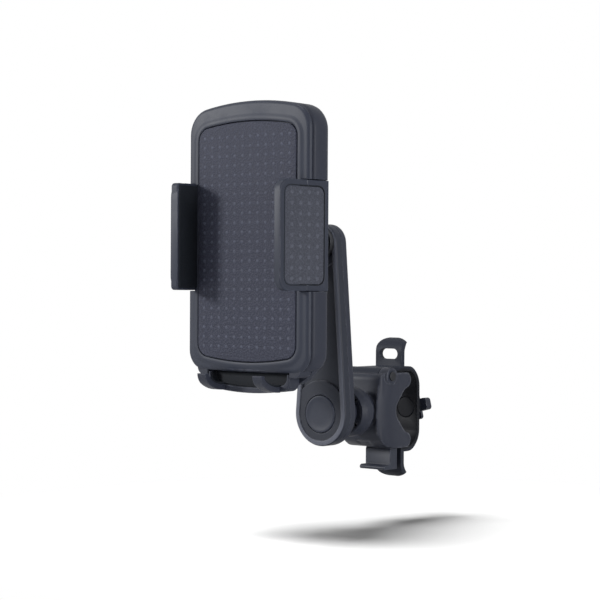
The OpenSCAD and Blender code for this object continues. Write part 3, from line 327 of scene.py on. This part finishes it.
def rounded(piece, width, segments=3, angle=32):
    """Rounds the edges of a piece that are sharper than the angle."""
    bevel = piece.modifiers.new("rounded_edges", "BEVEL")
    bevel.width, bevel.segments = width * MM, segments
    bevel.limit_method, bevel.angle_limit = "ANGLE", radians(angle)
    bevel.use_clamp_overlap = True
    bevel.harden_normals = True
    bevel.miter_outer = "MITER_ARC"
    return piece


def own_solid(node, merged=False):
    """A part's own solid in millimetres, with the seams on its flats merged if asked."""
    bm = bmesh.new()
    bm.from_mesh(parts[node].data)
    if merged:
        bmesh.ops.remove_doubles(bm, verts=bm.verts, dist=1e-5)
        bmesh.ops.dissolve_limit(bm, angle_limit=radians(0.6), verts=bm.verts, edges=bm.edges)
    bmesh.ops.scale(bm, vec=(1 / MM,) * 3, verts=bm.verts)
    return bm


def moulding(node, width, segments=3):
    """A part's own solid with its moulded edges rounded."""
    piece = show(node + "_moulding", own_solid(node, True), node, None, [node], 35)
    return rounded(piece, width, segments)


for node, piece in parts.items():
    piece.data.materials.clear()
    piece.data.materials.append(finish_of.get(node, zinc_steel))


# ---- outlines and solids, in millimetres ----

def arc(centre, r, start, end, steps):
    """Points along an arc, with its angles in degrees."""
    return [(centre[0] + r * cos(radians(start + (end - start) * i / steps)),
             centre[1] + r * sin(radians(start + (end - start) * i / steps)))
            for i in range(steps + 1)]


def quarters(turns, steps):
    """Outline of quarter arcs, each given by its centre, its radius and its first angle."""
    return [p for centre, r, start in turns for p in arc(centre, r, start, start + 90, steps)]


def bulge(r, x):
    """How far an arc of radius r has drawn back at x from its middle."""
    return r - sqrt(r ** 2 - x * x)


def arched(w, h, corner, arch):
    """Upright outline with straight sides, round corners and wide arcs at both ends."""
    cx, base = w / 2 - corner, h / 2 - arch
    cz = base + sqrt((arch - corner) ** 2 - cx * cx)
    turn = degrees(atan2(cz - base, cx))
    return (arc((cx, cz), corner, 0, turn, 9) + arc((0, base), arch, turn, 180 - turn, 18)
            + arc((-cx, cz), corner, 180 - turn, 180, 9)
            + arc((-cx, -cz), corner, 180, 180 + turn, 9)
            + arc((0, -base), arch, 180 + turn, 360 - turn, 18)
            + arc((cx, -cz), corner, 360 - turn, 360, 9))


def at_depth(outline, y, z=0.0):
    """An outline seen from the front, put at a depth and a height."""
    return [Vector((x, y, z + up)) for x, up in outline]


def bridge(bm, rows):
    """Walls between closed rows of points."""
    for one, two in zip(rows, rows[1:]):
        for i in range(len(one)):
            j = (i + 1) % len(one)
            bm.faces.new((one[i], one[j], two[j], two[i]))


def loft(*rings):
    """Solid through closed rings of points, with flat ends."""
    bm = bmesh.new()
    rows = [[bm.verts.new(p) for p in ring] for ring in rings]
    bridge(bm, rows)
    bm.faces.new(rows[0])
    bm.faces.new(rows[-1][::-1])
    return bm


def lathe(profile, x=0.0, z=0.0, steps=72):
    """Solid of revolution about a line along Y, from (radius, y) pairs."""
    turn = [2 * pi * i / steps for i in range(steps)]
    bm = loft(*[at_depth([(r * cos(a), r * sin(a)) for a in turn], y, z) for r, y in profile])
    bmesh.ops.translate(bm, vec=(x, 0, 0), verts=bm.verts)
    return bm


def edge_round(y_side, y_face, inset, steps=6):
    """(y, inset) pairs that turn a side into a face along a quarter ellipse."""
    return [(y_face + (y_side - y_face) * (1 - sin(radians(90 * i / steps))),
             inset * (1 - cos(radians(90 * i / steps)))) for i in range(steps + 1)]


def brick(low, high):
    """Box between two corners."""
    bm = bmesh.new()
    bmesh.ops.create_cube(bm, size=1)
    for v in bm.verts:
        v.co = Vector([(low[k] + high[k]) / 2 + v.co[k] * (high[k] - low[k]) for k in range(3)])
    return bm


def together(*meshes):
    """One mesh that holds several."""
    whole = meshes[0]
    for bm in meshes[1:]:
        loose = bpy.data.meshes.new("loose")
        bm.to_mesh(loose)
        bm.free()
        whole.from_mesh(loose)
        bpy.data.meshes.remove(loose)
    return whole


def carved(bm, *cutters):
    """A mesh with each cutter taken out of it."""
    holders = []
    for source in (bm, *cutters):
        bmesh.ops.recalc_face_normals(source, faces=source.faces)
        mesh = bpy.data.meshes.new("blank")
        source.to_mesh(mesh)
        source.free()
        holder = bpy.data.objects.new("blank", mesh)
        bpy.context.scene.collection.objects.link(holder)
        holders.append(holder)
    blank = holders[0]
    for cutter in holders[1:]:
        cut = blank.modifiers.new("cut", "BOOLEAN")
        cut.operation, cut.solver, cut.object = "DIFFERENCE", "EXACT", cutter
    bpy.context.view_layer.update()
    graph = bpy.context.evaluated_depsgraph_get()
    made = bpy.data.meshes.new_from_object(blank.evaluated_get(graph))
    out = bmesh.new()
    out.from_mesh(made)
    for holder in holders:
        mesh = holder.data
        bpy.data.objects.remove(holder)
        bpy.data.meshes.remove(mesh)
    bpy.data.meshes.remove(made)
    return out


def tube(path, r, sides=8):
    """Round wire along a list of points."""
    rings = []
    normal = Vector((0.31, 0.94, 0.12))
    for i, p in enumerate(path):
        ahead = (path[min(i + 1, len(path) - 1)] - path[max(i - 1, 0)]).normalized()
        normal = (normal - ahead * normal.dot(ahead)).normalized()
        over = ahead.cross(normal)
        rings.append([p + r * (cos(2 * pi * k / sides) * normal + sin(2 * pi * k / sides) * over)
                      for k in range(sides)])
    return loft(*rings)


def dimples(holds, step_x, step_z, place, r, proud):
    """Rows of small raised domes on a panel, wherever its outline holds them."""
    bm, sides, reach = bmesh.new(), 10, 20
    dome = ((1, -0.2), (0.86, 0.35), (0.5, 0.85))
    for col in range(-reach, reach + 1):
        for row in range(-reach, reach + 1):
            x, z = (col + 0.5) * step_x, row * step_z
            if not holds(x, z):
                continue
            rows = [[bm.verts.new(place(x + share * r * cos(2 * pi * k / sides), lift * proud,
                                        z + share * r * sin(2 * pi * k / sides)))
                     for k in range(sides)] for share, lift in dome]
            bridge(bm, rows)
            tip = bm.verts.new(place(x, proud, z))
            for k in range(sides):
                bm.faces.new((rows[-1][k], rows[-1][(k + 1) % sides], tip))
    return bm


# ---- cradle ----

cover_low, cover_high = corners("front_cover")
pad_low, pad_high = corners("cradle_pad")
jaw_low, jaw_high = corners("right_jaw")
housing_y = corners("rear_housing")[1].y
socket_low, socket_high = corners("ball_socket")
cradle_w, cradle_h = cover_high.x - cover_low.x, cover_high.z - cover_low.z
cradle_z, face_y, split_y = (cover_high.z + cover_low.z) / 2, cover_low.y, cover_high.y
pad_w, pad_h = pad_high.x - pad_low.x, pad_high.z - pad_low.z
pad_z = (pad_high.z + pad_low.z) / 2
ball_z = (socket_low.z + socket_high.z) / 2
jaw_h = jaw_high.z - jaw_low.z
cradle_corner, cradle_arch, pad_corner = 12.0, 150.0, 6.0
foot_end_corner, foot_end_arch = 9.0, 2000.0
shell_wall = 4.6
jaw_back_x = cradle_w / 2 + 0.1
notch_x = jaw_back_x - 4.7
screw_x, screw_z = cradle_w / 2 - 10, cradle_h / 2 - 14
screw_well_r = 2.7
# The housing's rounded back: its depth, and (distance in front of it, inset) pairs that lead there
back_y = housing_y + 1.5
back_round = ((4.4, 0.05), (3.0, 0.3), (2.0, 0.85), (1.2, 1.6), (0.6, 2.5), (0.2, 3.5), (0.0, 4.6))


def cradle_ring(y, inset):
    """Outline of the cradle, with tighter corners and a flatter arch below than above."""
    w, h = cradle_w - 2 * inset, cradle_h - 2 * inset
    upper = arched(w, h, cradle_corner - inset, cradle_arch - inset)
    lower = arched(w, h, foot_end_corner - inset, foot_end_arch - inset)
    half = len(upper) // 2
    return at_depth(upper[:half] + lower[half:], y, cradle_z)


def pad_ring(y, grow):
    """Outline of the phone pad, grown or shrunk evenly."""
    outline = arched(pad_w + 2 * grow, pad_h + 2 * grow, pad_corner + grow, cradle_arch)
    return at_depth(outline, y, pad_z)


def jaw_notches():
    """What both sides of the cradle lose for the jaws."""
    tall, outside, ahead, behind = jaw_h / 2 + 0.3, 60, -160, -40
    return [brick((min(s * notch_x, s * outside), ahead, cradle_z - tall),
                  (max(s * notch_x, s * outside), behind, cradle_z + tall)) for s in (-1, 1)]


def cradle_cover():
    """Front cover with a soft shoulder and a raised platform round the pad."""
    seam = [cradle_ring(split_y - y, inset)
            for y, inset in ((0, 1.8), (0.35, 1.2), (0.7, 0.5), (1.05, 0.1))]
    shoulder = [cradle_ring(y, inset) for y, inset in edge_round(face_y + 2.4, face_y + 0.55, 2.0)]
    platform = [pad_ring(face_y + y, grow) for y, grow in (
        (0.55, 4.2), (0.44, 3.5), (0.16, 2.7), (0.03, 2.1), (0, 1.6), (0, 0.75), (0.12, 0.5),
        (0.5, 0.42), (1.3, 0.42))]
    bm = carved(loft(*seam, *shoulder, *platform), *jaw_notches())
    show("cradle_cover", bm, "front_cover", None, ["front_cover"], 32)


def housing_shell():
    """Deep back of the cradle with its screw wells and the seat of the ball collar."""
    seam = [(split_y + y, inset) for y, inset in ((0.02, 1.7), (0.45, 0.9), (1.0, 0.25), (1.6, 0))]
    back = [(back_y - y, inset) for y, inset in back_round]
    bm = loft(*[cradle_ring(y, inset) for y, inset in seam + back])
    room_end, well_floor, collar_r = housing_y - 2.2, housing_y - 1.7, 17.4
    room = loft(cradle_ring(split_y - 1, shell_wall), cradle_ring(room_end, shell_wall))
    wells = [lathe([(screw_well_r, well_floor), (screw_well_r, back_y + 1)],
                   sx * screw_x, cradle_z + sz * screw_z) for sx in (-1, 1) for sz in (-1, 1)]
    collar = lathe([(collar_r, housing_y - 2.4), (collar_r, back_y - 0.4),
                    (collar_r + 0.6, back_y + 0.6)], 0, ball_z)
    bm = carved(bm, room, *jaw_notches(), *wells, collar)
    show("housing_shell", bm, "rear_housing", None, ["rear_housing"])


def phone_pad():
    """Rubber pad with a soft edge, and the dots on it."""
    edge = [pad_ring(y, -inset) for y, inset in edge_round(pad_low.y + 0.4, pad_low.y, 0.45, 4)]
    bm = loft(pad_ring(pad_high.y, 0), *edge)

    def inside(x, z, side=6.5, end=7.5, margin=4.2, corner=4):
        dx, dz = abs(x) - (pad_w / 2 - side), abs(z) - (pad_h / 2 - end)
        return max(dx, dz) <= margin and not (dx > 0 and dz > 0
                                              and dx * dx + dz * dz > corner ** 2)

    def on_pad(x, lift, z):
        return Vector((x, pad_low.y - lift, pad_z + z))
    show("phone_pad", bm, "cradle_pad", None, ["cradle_pad"], 40)
    dots = dimples(inside, 4.68, 4.37, on_pad, r=0.8, proud=0.13)
    show("phone_pad_dots", dots, "cradle_pad", highlit_pad_dots, None, 60)


# ---- jaws ----

jaw_lean, jaw_t, jaw_len = 3.6, 4.0, housing_y - face_y + 14.7
jaw_draft = atan2(jaw_lean, jaw_len)
jaw_reach = face_y - jaw_low.y
jaw_z = (jaw_high.z + jaw_low.z) / 2


def on_jaw(side, along, out, up):
    """Point on a jaw: along it from its tip, out from its outer face, and up from its middle."""
    x = jaw_back_x - jaw_lean + along * sin(jaw_draft) + out * cos(jaw_draft)
    y = jaw_low.y + along * cos(jaw_draft) - out * sin(jaw_draft)
    return Vector((side * x, y, jaw_z + up))


def jaw_plate(side, start, stop, tall, front_r, back_r, out_low, out_high):
    """Plate on a jaw with its own corner radii at the tip and at the back."""
    up, front, back = tall / 2, start + front_r, stop - back_r
    edge = quarters([((front, up - front_r), front_r, 90), ((front, front_r - up), front_r, 180),
                     ((back, back_r - up), back_r, 270), ((back, up - back_r), back_r, 0)], 8)
    return loft(*[[on_jaw(side, a, out, w) for a, w in edge] for out in (out_low, out_high)])


def jaw_dress(side):
    """Squarer jaw tip, rubber lining and dotted grip panel."""
    name = ("right" if side > 0 else "left") + "_jaw"
    tip_r = 5.0 if side > 0 else 1.8
    tip = jaw_plate(side, 0.03, 12.5, jaw_h - 0.06, tip_r, 4.5, 0.03 - jaw_t, -0.03)
    rounded(show(name + "_tip", tip, name), 0.7, 3, 50)
    lining = jaw_plate(side, 0.9, jaw_reach - 0.7, jaw_h - 2, tip_r - 0.8, 0.8,
                       -jaw_t - 0.5, 0.6 - jaw_t)
    rounded(show(name + "_lining", lining, name + "_pad", None, [name + "_pad"]), 0.25, 2, 50)
    moulding(name + "_grip", 0.3, 2)
    margin, corner, sunk, groove_r = 2.6, 3.6, 0.12, 0.26
    half_u, half_w = jaw_len / 2 - margin, jaw_h / 2 - margin
    cu, cw = half_u - corner, half_w - corner
    edge = quarters([((cu, cw), corner, 0), ((-cu, cw), corner, 90),
                     ((-cu, -cw), corner, 180), ((cu, -cw), corner, 270)], 6)
    # The groove round the grip panel is a near-black rubber bead: painted shade for the shade in
    # the groove.
    path = [on_jaw(side, jaw_len / 2 + u, -sunk, w) for u, w in edge]
    show(name + "_groove", tube(path + path[:2], groove_r), name + "_grip", lip_and_painted_shade_rubber, None, 60)

    def inside(u, w, rim=1.8):
        return abs(u) < half_u - rim and abs(w) < half_w - rim

    def on_grip(u, lift, w):
        return on_jaw(side, jaw_len / 2 + u, lift, w)
    dots = dimples(inside, 5.2, 4.8, on_grip, r=1.05, proud=0.3)
    show(name + "_dots", dots, name + "_grip", highlit_grip_dots, None, 60)


def jaw_spring(side):
    """Closing spring with a hook on each post, drawn at rest; in the mount the jaws stretch it as
    they open.
    """
    which = "right" if side > 0 else "left"
    node = which + "_spring"
    low, high = corners(node)
    centre_y, centre_z = (low.y + high.y) / 2, (low.z + high.z) / 2
    fixed, moving, hook_r, reach = -22.0, 8.0, 1.4, 2.9
    coil_r, wire_r, turns, per_turn = 1.2, 0.34, 17, 12
    start, stop, steps = fixed + reach, moving - reach, turns * per_turn
    coil = [Vector((start + (stop - start) * i / steps, coil_r * sin(2 * pi * i / per_turn),
                    coil_r * cos(2 * pi * i / per_turn))) for i in range(steps + 1)]

    def hook(post, way, angles):
        return [Vector((post + way * hook_r * cos(radians(a)), hook_r * sin(radians(a)), 0))
                for a in angles]
    line = (hook(fixed, 1, range(-270, 31, 25)) + [Vector((start - 0.6, 0.5, 0.4))] + coil
            + [Vector((stop + 0.6, 0.5, 0.4))] + hook(moving, -1, range(30, -271, -25)))
    place = Matrix.Translation((0, centre_y, centre_z)) @ Matrix.Scale(side, 4, (1, 0, 0))
    bm = tube([place @ p for p in line], wire_r, 7)
    piece = show(node + "_coil", bm, node, None, [node], 60, rides=False)
    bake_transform(piece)


# ---- foot ----

foot_low, foot_high = corners("foot_slide")
foot_front, stem_front = face_y + 2.0, foot_high.y - 3.0
foot_half, foot_corner, foot_wall, foot_floor = 24.6, 4.5, 1.1, 2.6
stem_half = 20


def basket_outline(inset, floor):
    """Foot block seen from the front: arched bottom, round corners, a top that fits the cradle."""
    half, r, top = foot_half - inset, foot_corner - inset * 0.6, cover_low.z - 0.6
    low, flat = foot_low.z + floor, foot_half - inset - r
    corner_z = low + bulge(cradle_arch, flat) + r
    return (arc((flat, corner_z), r, 270, 360, 6)
            + [(half * (1 - i / 8), top + bulge(foot_end_arch, half * (1 - i / 8)))
               for i in range(17)]
            + arc((-flat, corner_z), r, 180, 270, 6)
            + [(-flat * (1 - i / 6), low + bulge(cradle_arch, flat * (1 - i / 6)))
               for i in range(1, 12)])


def foot_basket():
    """Open block under the cradle, with the hooks in front and the stem that slides inside."""
    hooks = carved(own_solid("foot_slide"),
                   brick((-40, foot_front - 0.02, foot_low.z - 1),
                         (40, foot_high.y + 1, foot_high.z + 1)))
    rounded(show("foot_hooks", hooks, "foot_slide", None, ["foot_slide"]), 0.6)
    deep = stem_front - 0.25
    outer, eased = basket_outline(0.0, 0.0), basket_outline(0.4, 0.4)
    block = loft(at_depth(eased, foot_front - 0.4), at_depth(outer, foot_front),
                 at_depth(outer, foot_high.y - 0.4), at_depth(eased, foot_high.y))
    hollow = basket_outline(foot_wall, foot_floor)

    def opened(share, lift):
        """The hollow's outline with its top raised clear of the block and its floor lifted."""
        return [(x * share, z + (6 if z > cover_low.z - 1 else lift)) for x, z in hollow]
    room, shade_sheet_inside = opened(1, 0), opened(0.985, 0.3)
    block = carved(block, loft(at_depth(room, foot_front - 2), at_depth(room, deep)))
    stem = brick((-stem_half, stem_front, foot_low.z + 5), (stem_half, foot_high.y, foot_high.z))
    show("foot_basket", together(block, stem), "foot_slide")
    # A thin near-black sheet lines the block's hollow: painted shade for the shade inside it.
    skin = basket_outline(foot_wall + 0.02, foot_floor + 0.02)
    shade_sheet = carved(loft(at_depth(skin, foot_front + 0.5), at_depth(skin, deep - 0.02)),
                  loft(at_depth(shade_sheet_inside, foot_front - 1), at_depth(shade_sheet_inside, deep - 0.3)))
    show("foot_shade_sheet", shade_sheet, "foot_slide", lip_and_painted_shade_rubber)


def housing_skirt():
    """Lower skirt of the housing, which guides the foot from behind."""
    side_x, side_top, low_z = 36.5, 52.0, 14.9
    corner_at, corner_r = (16.5, 35.6), 20.0
    rows = []
    for y, inset in [(foot_high.y + 0.4, 0.15)] + [(back_y - max(y, 0.02), inset + 0.1)
                                                   for y, inset in back_round]:
        side = [(side_x - inset, side_top)] + arc(corner_at, corner_r - inset, 0, -86, 14)
        rows.append(at_depth(side + [(0, low_z + inset)] + [(-x, z) for x, z in side[::-1]], y))
    wells = [lathe([(screw_well_r, back_y - 3.2), (screw_well_r, back_y + 1)],
                   sx * screw_x, cradle_z - screw_z) for sx in (-1, 1)]
    bm = carved(loft(*rows), *wells)
    inner, outer, low, r = foot_half + 0.4, foot_half + 6.6, cover_low.z - 1.9, 3.5
    for sx in (-1, 1):
        edge = ([(inner, low + 4), (inner, low)] + arc((outer - r, low + r), r, 270, 360, 6)
                + [(outer, low + 4)])
        bm = together(bm, loft(*[at_depth([(sx * x, z) for x, z in edge], y)
                                 for y in (foot_front - 0.6, foot_high.y)]))
    show("housing_skirt", bm, "rear_housing")


# ---- arm ----

arm_low, arm_high = corners("arm_front_cover")
arm_low_r, arm_top_r = arm_high.x, 9.3
arm_len = arm_high.z - arm_top_r
arm_front, arm_split, arm_back = arm_low.y, arm_high.y, -49.2
arm_lean = degrees(asin((arm_low_r - arm_top_r) / arm_len))
arm_screw_z = (24, 62)


def racetrack(inset):
    """Outline of the arm: a wide round foot, a narrow round head."""
    return (arc((0, arm_len), arm_top_r - inset, arm_lean, 180 - arm_lean, 28)
            + arc((0, 0), arm_low_r - inset, 180 - arm_lean, 360 + arm_lean, 40))


def pocket_outline(rim=3.0, foot_gap=0.6, head_r=11.6):
    """Outline of the pocket between the arm's round foot and its head, inside the rim."""
    reach, foot_r = arm_low_r - rim, arm_low_r + foot_gap
    foot = arm_lean + degrees(acos(reach / foot_r))
    head = arm_lean - degrees(acos((reach - arm_len * sin(radians(arm_lean))) / head_r))
    return (arc((0, 0), foot_r, foot, 180 - foot, 16)
            + arc((0, arm_len), head_r, 180 - head, 360 + head, 12))


def arm_skin(split_way, side_y, face, inset):
    """Half of the arm, from the split between its shells to a rounded face."""
    skin = [at_depth(racetrack(grow), y) for y, grow in edge_round(side_y, face, inset)]
    return loft(at_depth(racetrack(0.25), arm_split),
                at_depth(racetrack(0.0), arm_split + 0.25 * split_way), *skin)


def arm_cover():
    """Front of the arm with a sunk panel, the pocket in it and the seat of the cap."""
    bm = arm_skin(-1, arm_front + 1.2, arm_front, 1.1)
    border, panel_depth, pocket_depth, seat_r, seat_depth = 2.6, 0.45, 1.3, 9.3, 1.4
    panel = loft(at_depth(racetrack(border), arm_front - 1.5),
                 at_depth(racetrack(border), arm_front + panel_depth))
    pocket = loft(at_depth(pocket_outline(), arm_front - 1),
                  at_depth(pocket_outline(), arm_front + pocket_depth))
    seat = lathe([(seat_r, arm_front - 1), (seat_r, arm_front + seat_depth)])
    bm = carved(carved(bm, panel), pocket, seat)
    show("arm_cover", bm, "arm_front_cover", None, ["arm_front_cover"])


def arm_shell():
    """Rear of the arm with its screw wells, and the neck of its pivot."""
    bm = arm_skin(1, arm_back - 1.6, arm_back, 1.6)
    well_r, head_r, neck_r, neck_end = 2.2, 4.7, 7.0, -31.4
    wells = [lathe([(well_r, arm_back - 1.6), (well_r, arm_back + 1)], 0, z) for z in arm_screw_z]
    bm = carved(bm, *wells, lathe([(head_r, arm_back - 2.2), (head_r, arm_back + 1)], 0, arm_len))
    neck = lathe([(9.0, arm_back - 0.3), (8.0, arm_back + 0.25), (7.2, arm_back + 0.9),
                  (neck_r, arm_back + 1.6), (neck_r, neck_end), (neck_r - 0.4, neck_end + 0.4)])
    rounded(show("arm_shell", bm, "arm_rear_shell", None, ["arm_rear_shell"]), 0.3, 3, 50)
    show("arm_neck", neck, "arm_rear_shell")


def knuckle_cover():
    """Round cap over the arm's pivot, slightly hollow."""
    profile = [(r, arm_front + y) for r, y in (
        (9.0, 1.3), (9.0, 0.5), (8.85, 0.16), (8.5, 0), (7.9, 0), (7.5, 0.12), (5, 0.2), (2, 0.24),
        (0.3, 0.25))]
    show("knuckle_cover", lathe(profile), "knuckle_cap", None, ["knuckle_cap"])


# ---- clamp ----

def clamp_block():
    """Clamp body with a fuller round along the front of its base."""
    base = corners("clamp_body")[0].z
    front, r, squash = -25.8, 12.0, 0.62
    cy, cz = front + r, base + r * squash
    curve = [(cy - r * cos(radians(a)), cz - r * squash * sin(radians(a))) for a in range(0, 91, 9)]
    edge = [(front - 16, cz)] + curve + [(cy, base - 4), (front - 16, base - 4)]
    wide = 30
    cut = loft(*[[Vector((x, y, z)) for y, z in edge] for x in (-wide, wide)])
    bm = carved(own_solid("clamp_body"), cut)
    rounded(show("clamp_block", bm, "clamp_body", None, ["clamp_body"]), 0.9)


def ear_arch(out, z_foot, z_tip):
    """What an ear loses where its end is rounded into an arch, seen from the front."""
    half, tall, fullness, room = 8.25, abs(z_tip - z_foot) + 0.1, 0.7, 12
    arch = [(half * abs(cos(radians(a))) ** fullness * (1 if a < 90 else -1),
             z_foot + out * tall * sin(radians(a)) ** fullness) for a in range(0, 181, 9)]
    edge = arch + [(-room, z_foot), (-room, z_foot + out * room),
                   (room, z_foot + out * room), (room, z_foot)]
    return loft(*[at_depth(edge, y) for y in (-14, 12)])


def clamp_yoke():
    """Yoke with the ends of both ears rounded into arches."""
    low, high = corners("yoke")
    upper, lower = ear_arch(1, high.z - 7.0, high.z), ear_arch(-1, low.z + 6.0, low.z)
    bm = carved(own_solid("yoke"), upper, lower)
    rounded(show("clamp_yoke", bm, "yoke", None, ["yoke"]), 0.6)


# ---- screws ----

def cross_head(r, h, y, x, z, shaft_r, shaft_y):
    """Domed screw head facing back, with a cross recess and its shaft."""
    dome = [(r, y), (r, y + h * 0.45)] + [
        (r * cos(radians(a)), y + h * (0.45 + 0.55 * sin(radians(a)))) for a in (25, 45, 62, 78)]
    arm, half, deep, top = r * 0.56, r * 0.13, y + h - h * 0.6, y + h + 1
    bm = carved(lathe(dome, steps=28), brick((-arm, deep, -half), (arm, top, half)),
                brick((-half, deep, -arm), (half, top, arm)))
    shaft = lathe([(shaft_r * 0.6, shaft_y), (shaft_r, shaft_y + 0.5), (shaft_r, y + 0.1)],
                  steps=20)
    whole = together(bm, shaft)
    bmesh.ops.translate(whole, vec=(x, 0, z), verts=whole.verts)
    return whole


def screw_set(node, places, r, shaft_r, h=1.3):
    """Screws of one part, with their heads at its back."""
    low, high = corners(node)
    heads = [cross_head(r, h, high.y - h, x, z, shaft_r, low.y) for x, z in places]
    show(node + "_heads", together(*heads), node, zinc_steel, [node], 32)


def threaded(r, pitch, y_start, y_end, depth=0.32, around=28, per_turn=12):
    """Screw thread along Y, one helical ridge."""
    count = int((y_end - y_start) / pitch * per_turn)
    rings = []
    for i in range(count + 1):
        y = y_start + (y_end - y_start) * i / count
        ring = []
        for k in range(around):
            here, a = r - depth * abs(2 * ((y / pitch + k / around) % 1) - 1), 2 * pi * k / around
            ring.append(Vector((here * cos(a), y, here * sin(a))))
        rings.append(ring)
    return loft(*rings)


# ---- all pieces ----

cradle_cover()
housing_shell()
phone_pad()
for side in (1, -1):
    jaw_dress(side)
    jaw_spring(side)
foot_basket()
housing_skirt()
arm_cover()
arm_shell()
knuckle_cover()
clamp_block()
clamp_yoke()
screw_set("arm_screws", [(0, z) for z in arm_screw_z], r=2.1, shaft_r=1.05)
screw_set("cover_screws", [(sx * screw_x, cradle_z + sz * screw_z)
                           for sx in (-1, 1) for sz in (-1, 1)], r=2.4, shaft_r=1.15)
screw_low, screw_high = corners("clamp_screw")
show("screw_thread", threaded(2.5, 1.25, screw_low.y, screw_high.y), "clamp_screw", zinc_steel,
     ["clamp_screw"], angle=25)
for node, width in {
        "latch_lever": 0.45, "knuckle_lock_ring": 0.3, "right_jaw": 0.6, "left_jaw": 0.6,
        "foot_pads": 0.25, "pressure_pad": 0.35, "ball_lock_ring": 0.4, "ball_socket": 0.25,
        "right_rack": 0.15, "left_rack": 0.15, "ball_stud": 0.3}.items():
    moulding(node, width)


# ---- light, floor and camera ----

def panel_light(name, place, aim, size, power, only=None):
    """Round soft light; it can be kept to one object."""
    data = bpy.data.lights.new(name, "AREA")
    data.shape, data.size, data.energy = "DISK", size, power
    lamp = bpy.data.objects.new(name, data)
    bpy.context.scene.collection.objects.link(lamp)
    lamp.location = place
    lamp.rotation_euler = (Vector(aim) - Vector(place)).to_track_quat("-Z", "Y").to_euler()
    if only:
        group = bpy.data.collections.new(name + "_lights")
        group.objects.link(only)
        lamp.light_linking.receiver_collection = group


def white_world(strength):
    """World that is seen white and lights with its own strength."""
    world = bpy.data.worlds.new("studio")
    bpy.context.scene.world = world
    f = Finish("studio", world)
    seen = f.light_path("Is Camera Ray")
    mirrored = f.light_path("Is Glossy Ray")
    through = f.light_path("Is Transmission Ray")
    level = (seen + mirrored + through).held() * (1 - strength) + strength
    f.add("ShaderNodeOutputWorld", None,
          {"Surface": f.add("ShaderNodeBackground", None, {"Color": (1, 1, 1), "Strength": level})})


def pale_floor(height, reach=9.0):
    """White floor that keeps the shadow and runs out into plain white."""
    f = Finish("pale_floor")
    at = f.place()
    seen = f.light_path("Is Camera Ray")
    tone = f.tint(f.noise(at, 3, 2), (0.24, 0.24, 0.24), (0.26, 0.26, 0.26))
    near = f.add("ShaderNodeBsdfDiffuse", None, {"Color": f.tint(seen, tone, (0.37, 0.37, 0.37))})
    white = f.add("ShaderNodeEmission", None, {"Color": (1, 1, 1), "Strength": 1.0})
    away = f.vector("DISTANCE", at, (0.01, -0.02, 0.0))
    f.add("ShaderNodeOutputMaterial", None, {"Surface": f.add(
        "ShaderNodeMixShader", None, [f.step(away, 0.1, 0.24) * seen, near, white])})
    bm = bmesh.new()
    bmesh.ops.create_grid(bm, x_segments=8, y_segments=8, size=reach)
    mesh = bpy.data.meshes.new("floor")
    bm.to_mesh(mesh)
    bm.free()
    mesh.materials.append(f.material)
    floor = bpy.data.objects.new("floor", mesh)
    bpy.context.scene.collection.objects.link(floor)
    floor.location.z = height
    return floor


def camera(place, azimuth, pitch, roll, lens):
    """Camera at a place, turned by its azimuth, then raised and rolled, in degrees."""
    data = bpy.data.cameras.new("camera")
    data.lens, data.sensor_width, data.clip_start, data.clip_end = lens, 36.0, 0.01, 40.0
    eye = bpy.data.objects.new("camera", data)
    bpy.context.scene.collection.objects.link(eye)
    a, e, r = radians(azimuth), radians(pitch), radians(roll)
    ahead = Vector((-sin(a) * cos(e), cos(a) * cos(e), sin(e)))
    level = Vector((cos(a), sin(a), 0))
    over = level.cross(ahead)
    right = level * cos(r) + over * sin(r)
    up = over * cos(r) - level * sin(r)
    turn = Matrix((right, up, -ahead)).transposed().to_4x4()
    eye.matrix_world = Matrix.Translation(place) @ turn
    bpy.context.scene.camera = eye


camera((0.5306, -0.7103, 0.0615), azimuth=39.8, pitch=-0.46, roll=0.34, lens=105.07)
white_world(strength=0.13)
floor = pale_floor(height=-0.058)
middle = (0.0, -0.06, 0.05)
panel_light("key_panel", (-0.8, -0.95, 0.42), middle, size=0.26, power=12.0)
panel_light("side_panel", (1.25, -0.22, 0.2), middle, size=0.4, power=11.0)
panel_light("top_panel", (-0.1, -0.42, 1.1), middle, size=0.3, power=4.0)
panel_light("floor_panel", (-0.12, -0.58, 1.05), (0.0, -0.04, -0.05), size=0.66, power=54.0,
            only=floor)

scene = bpy.context.scene
scene.view_settings.view_transform = "Standard"
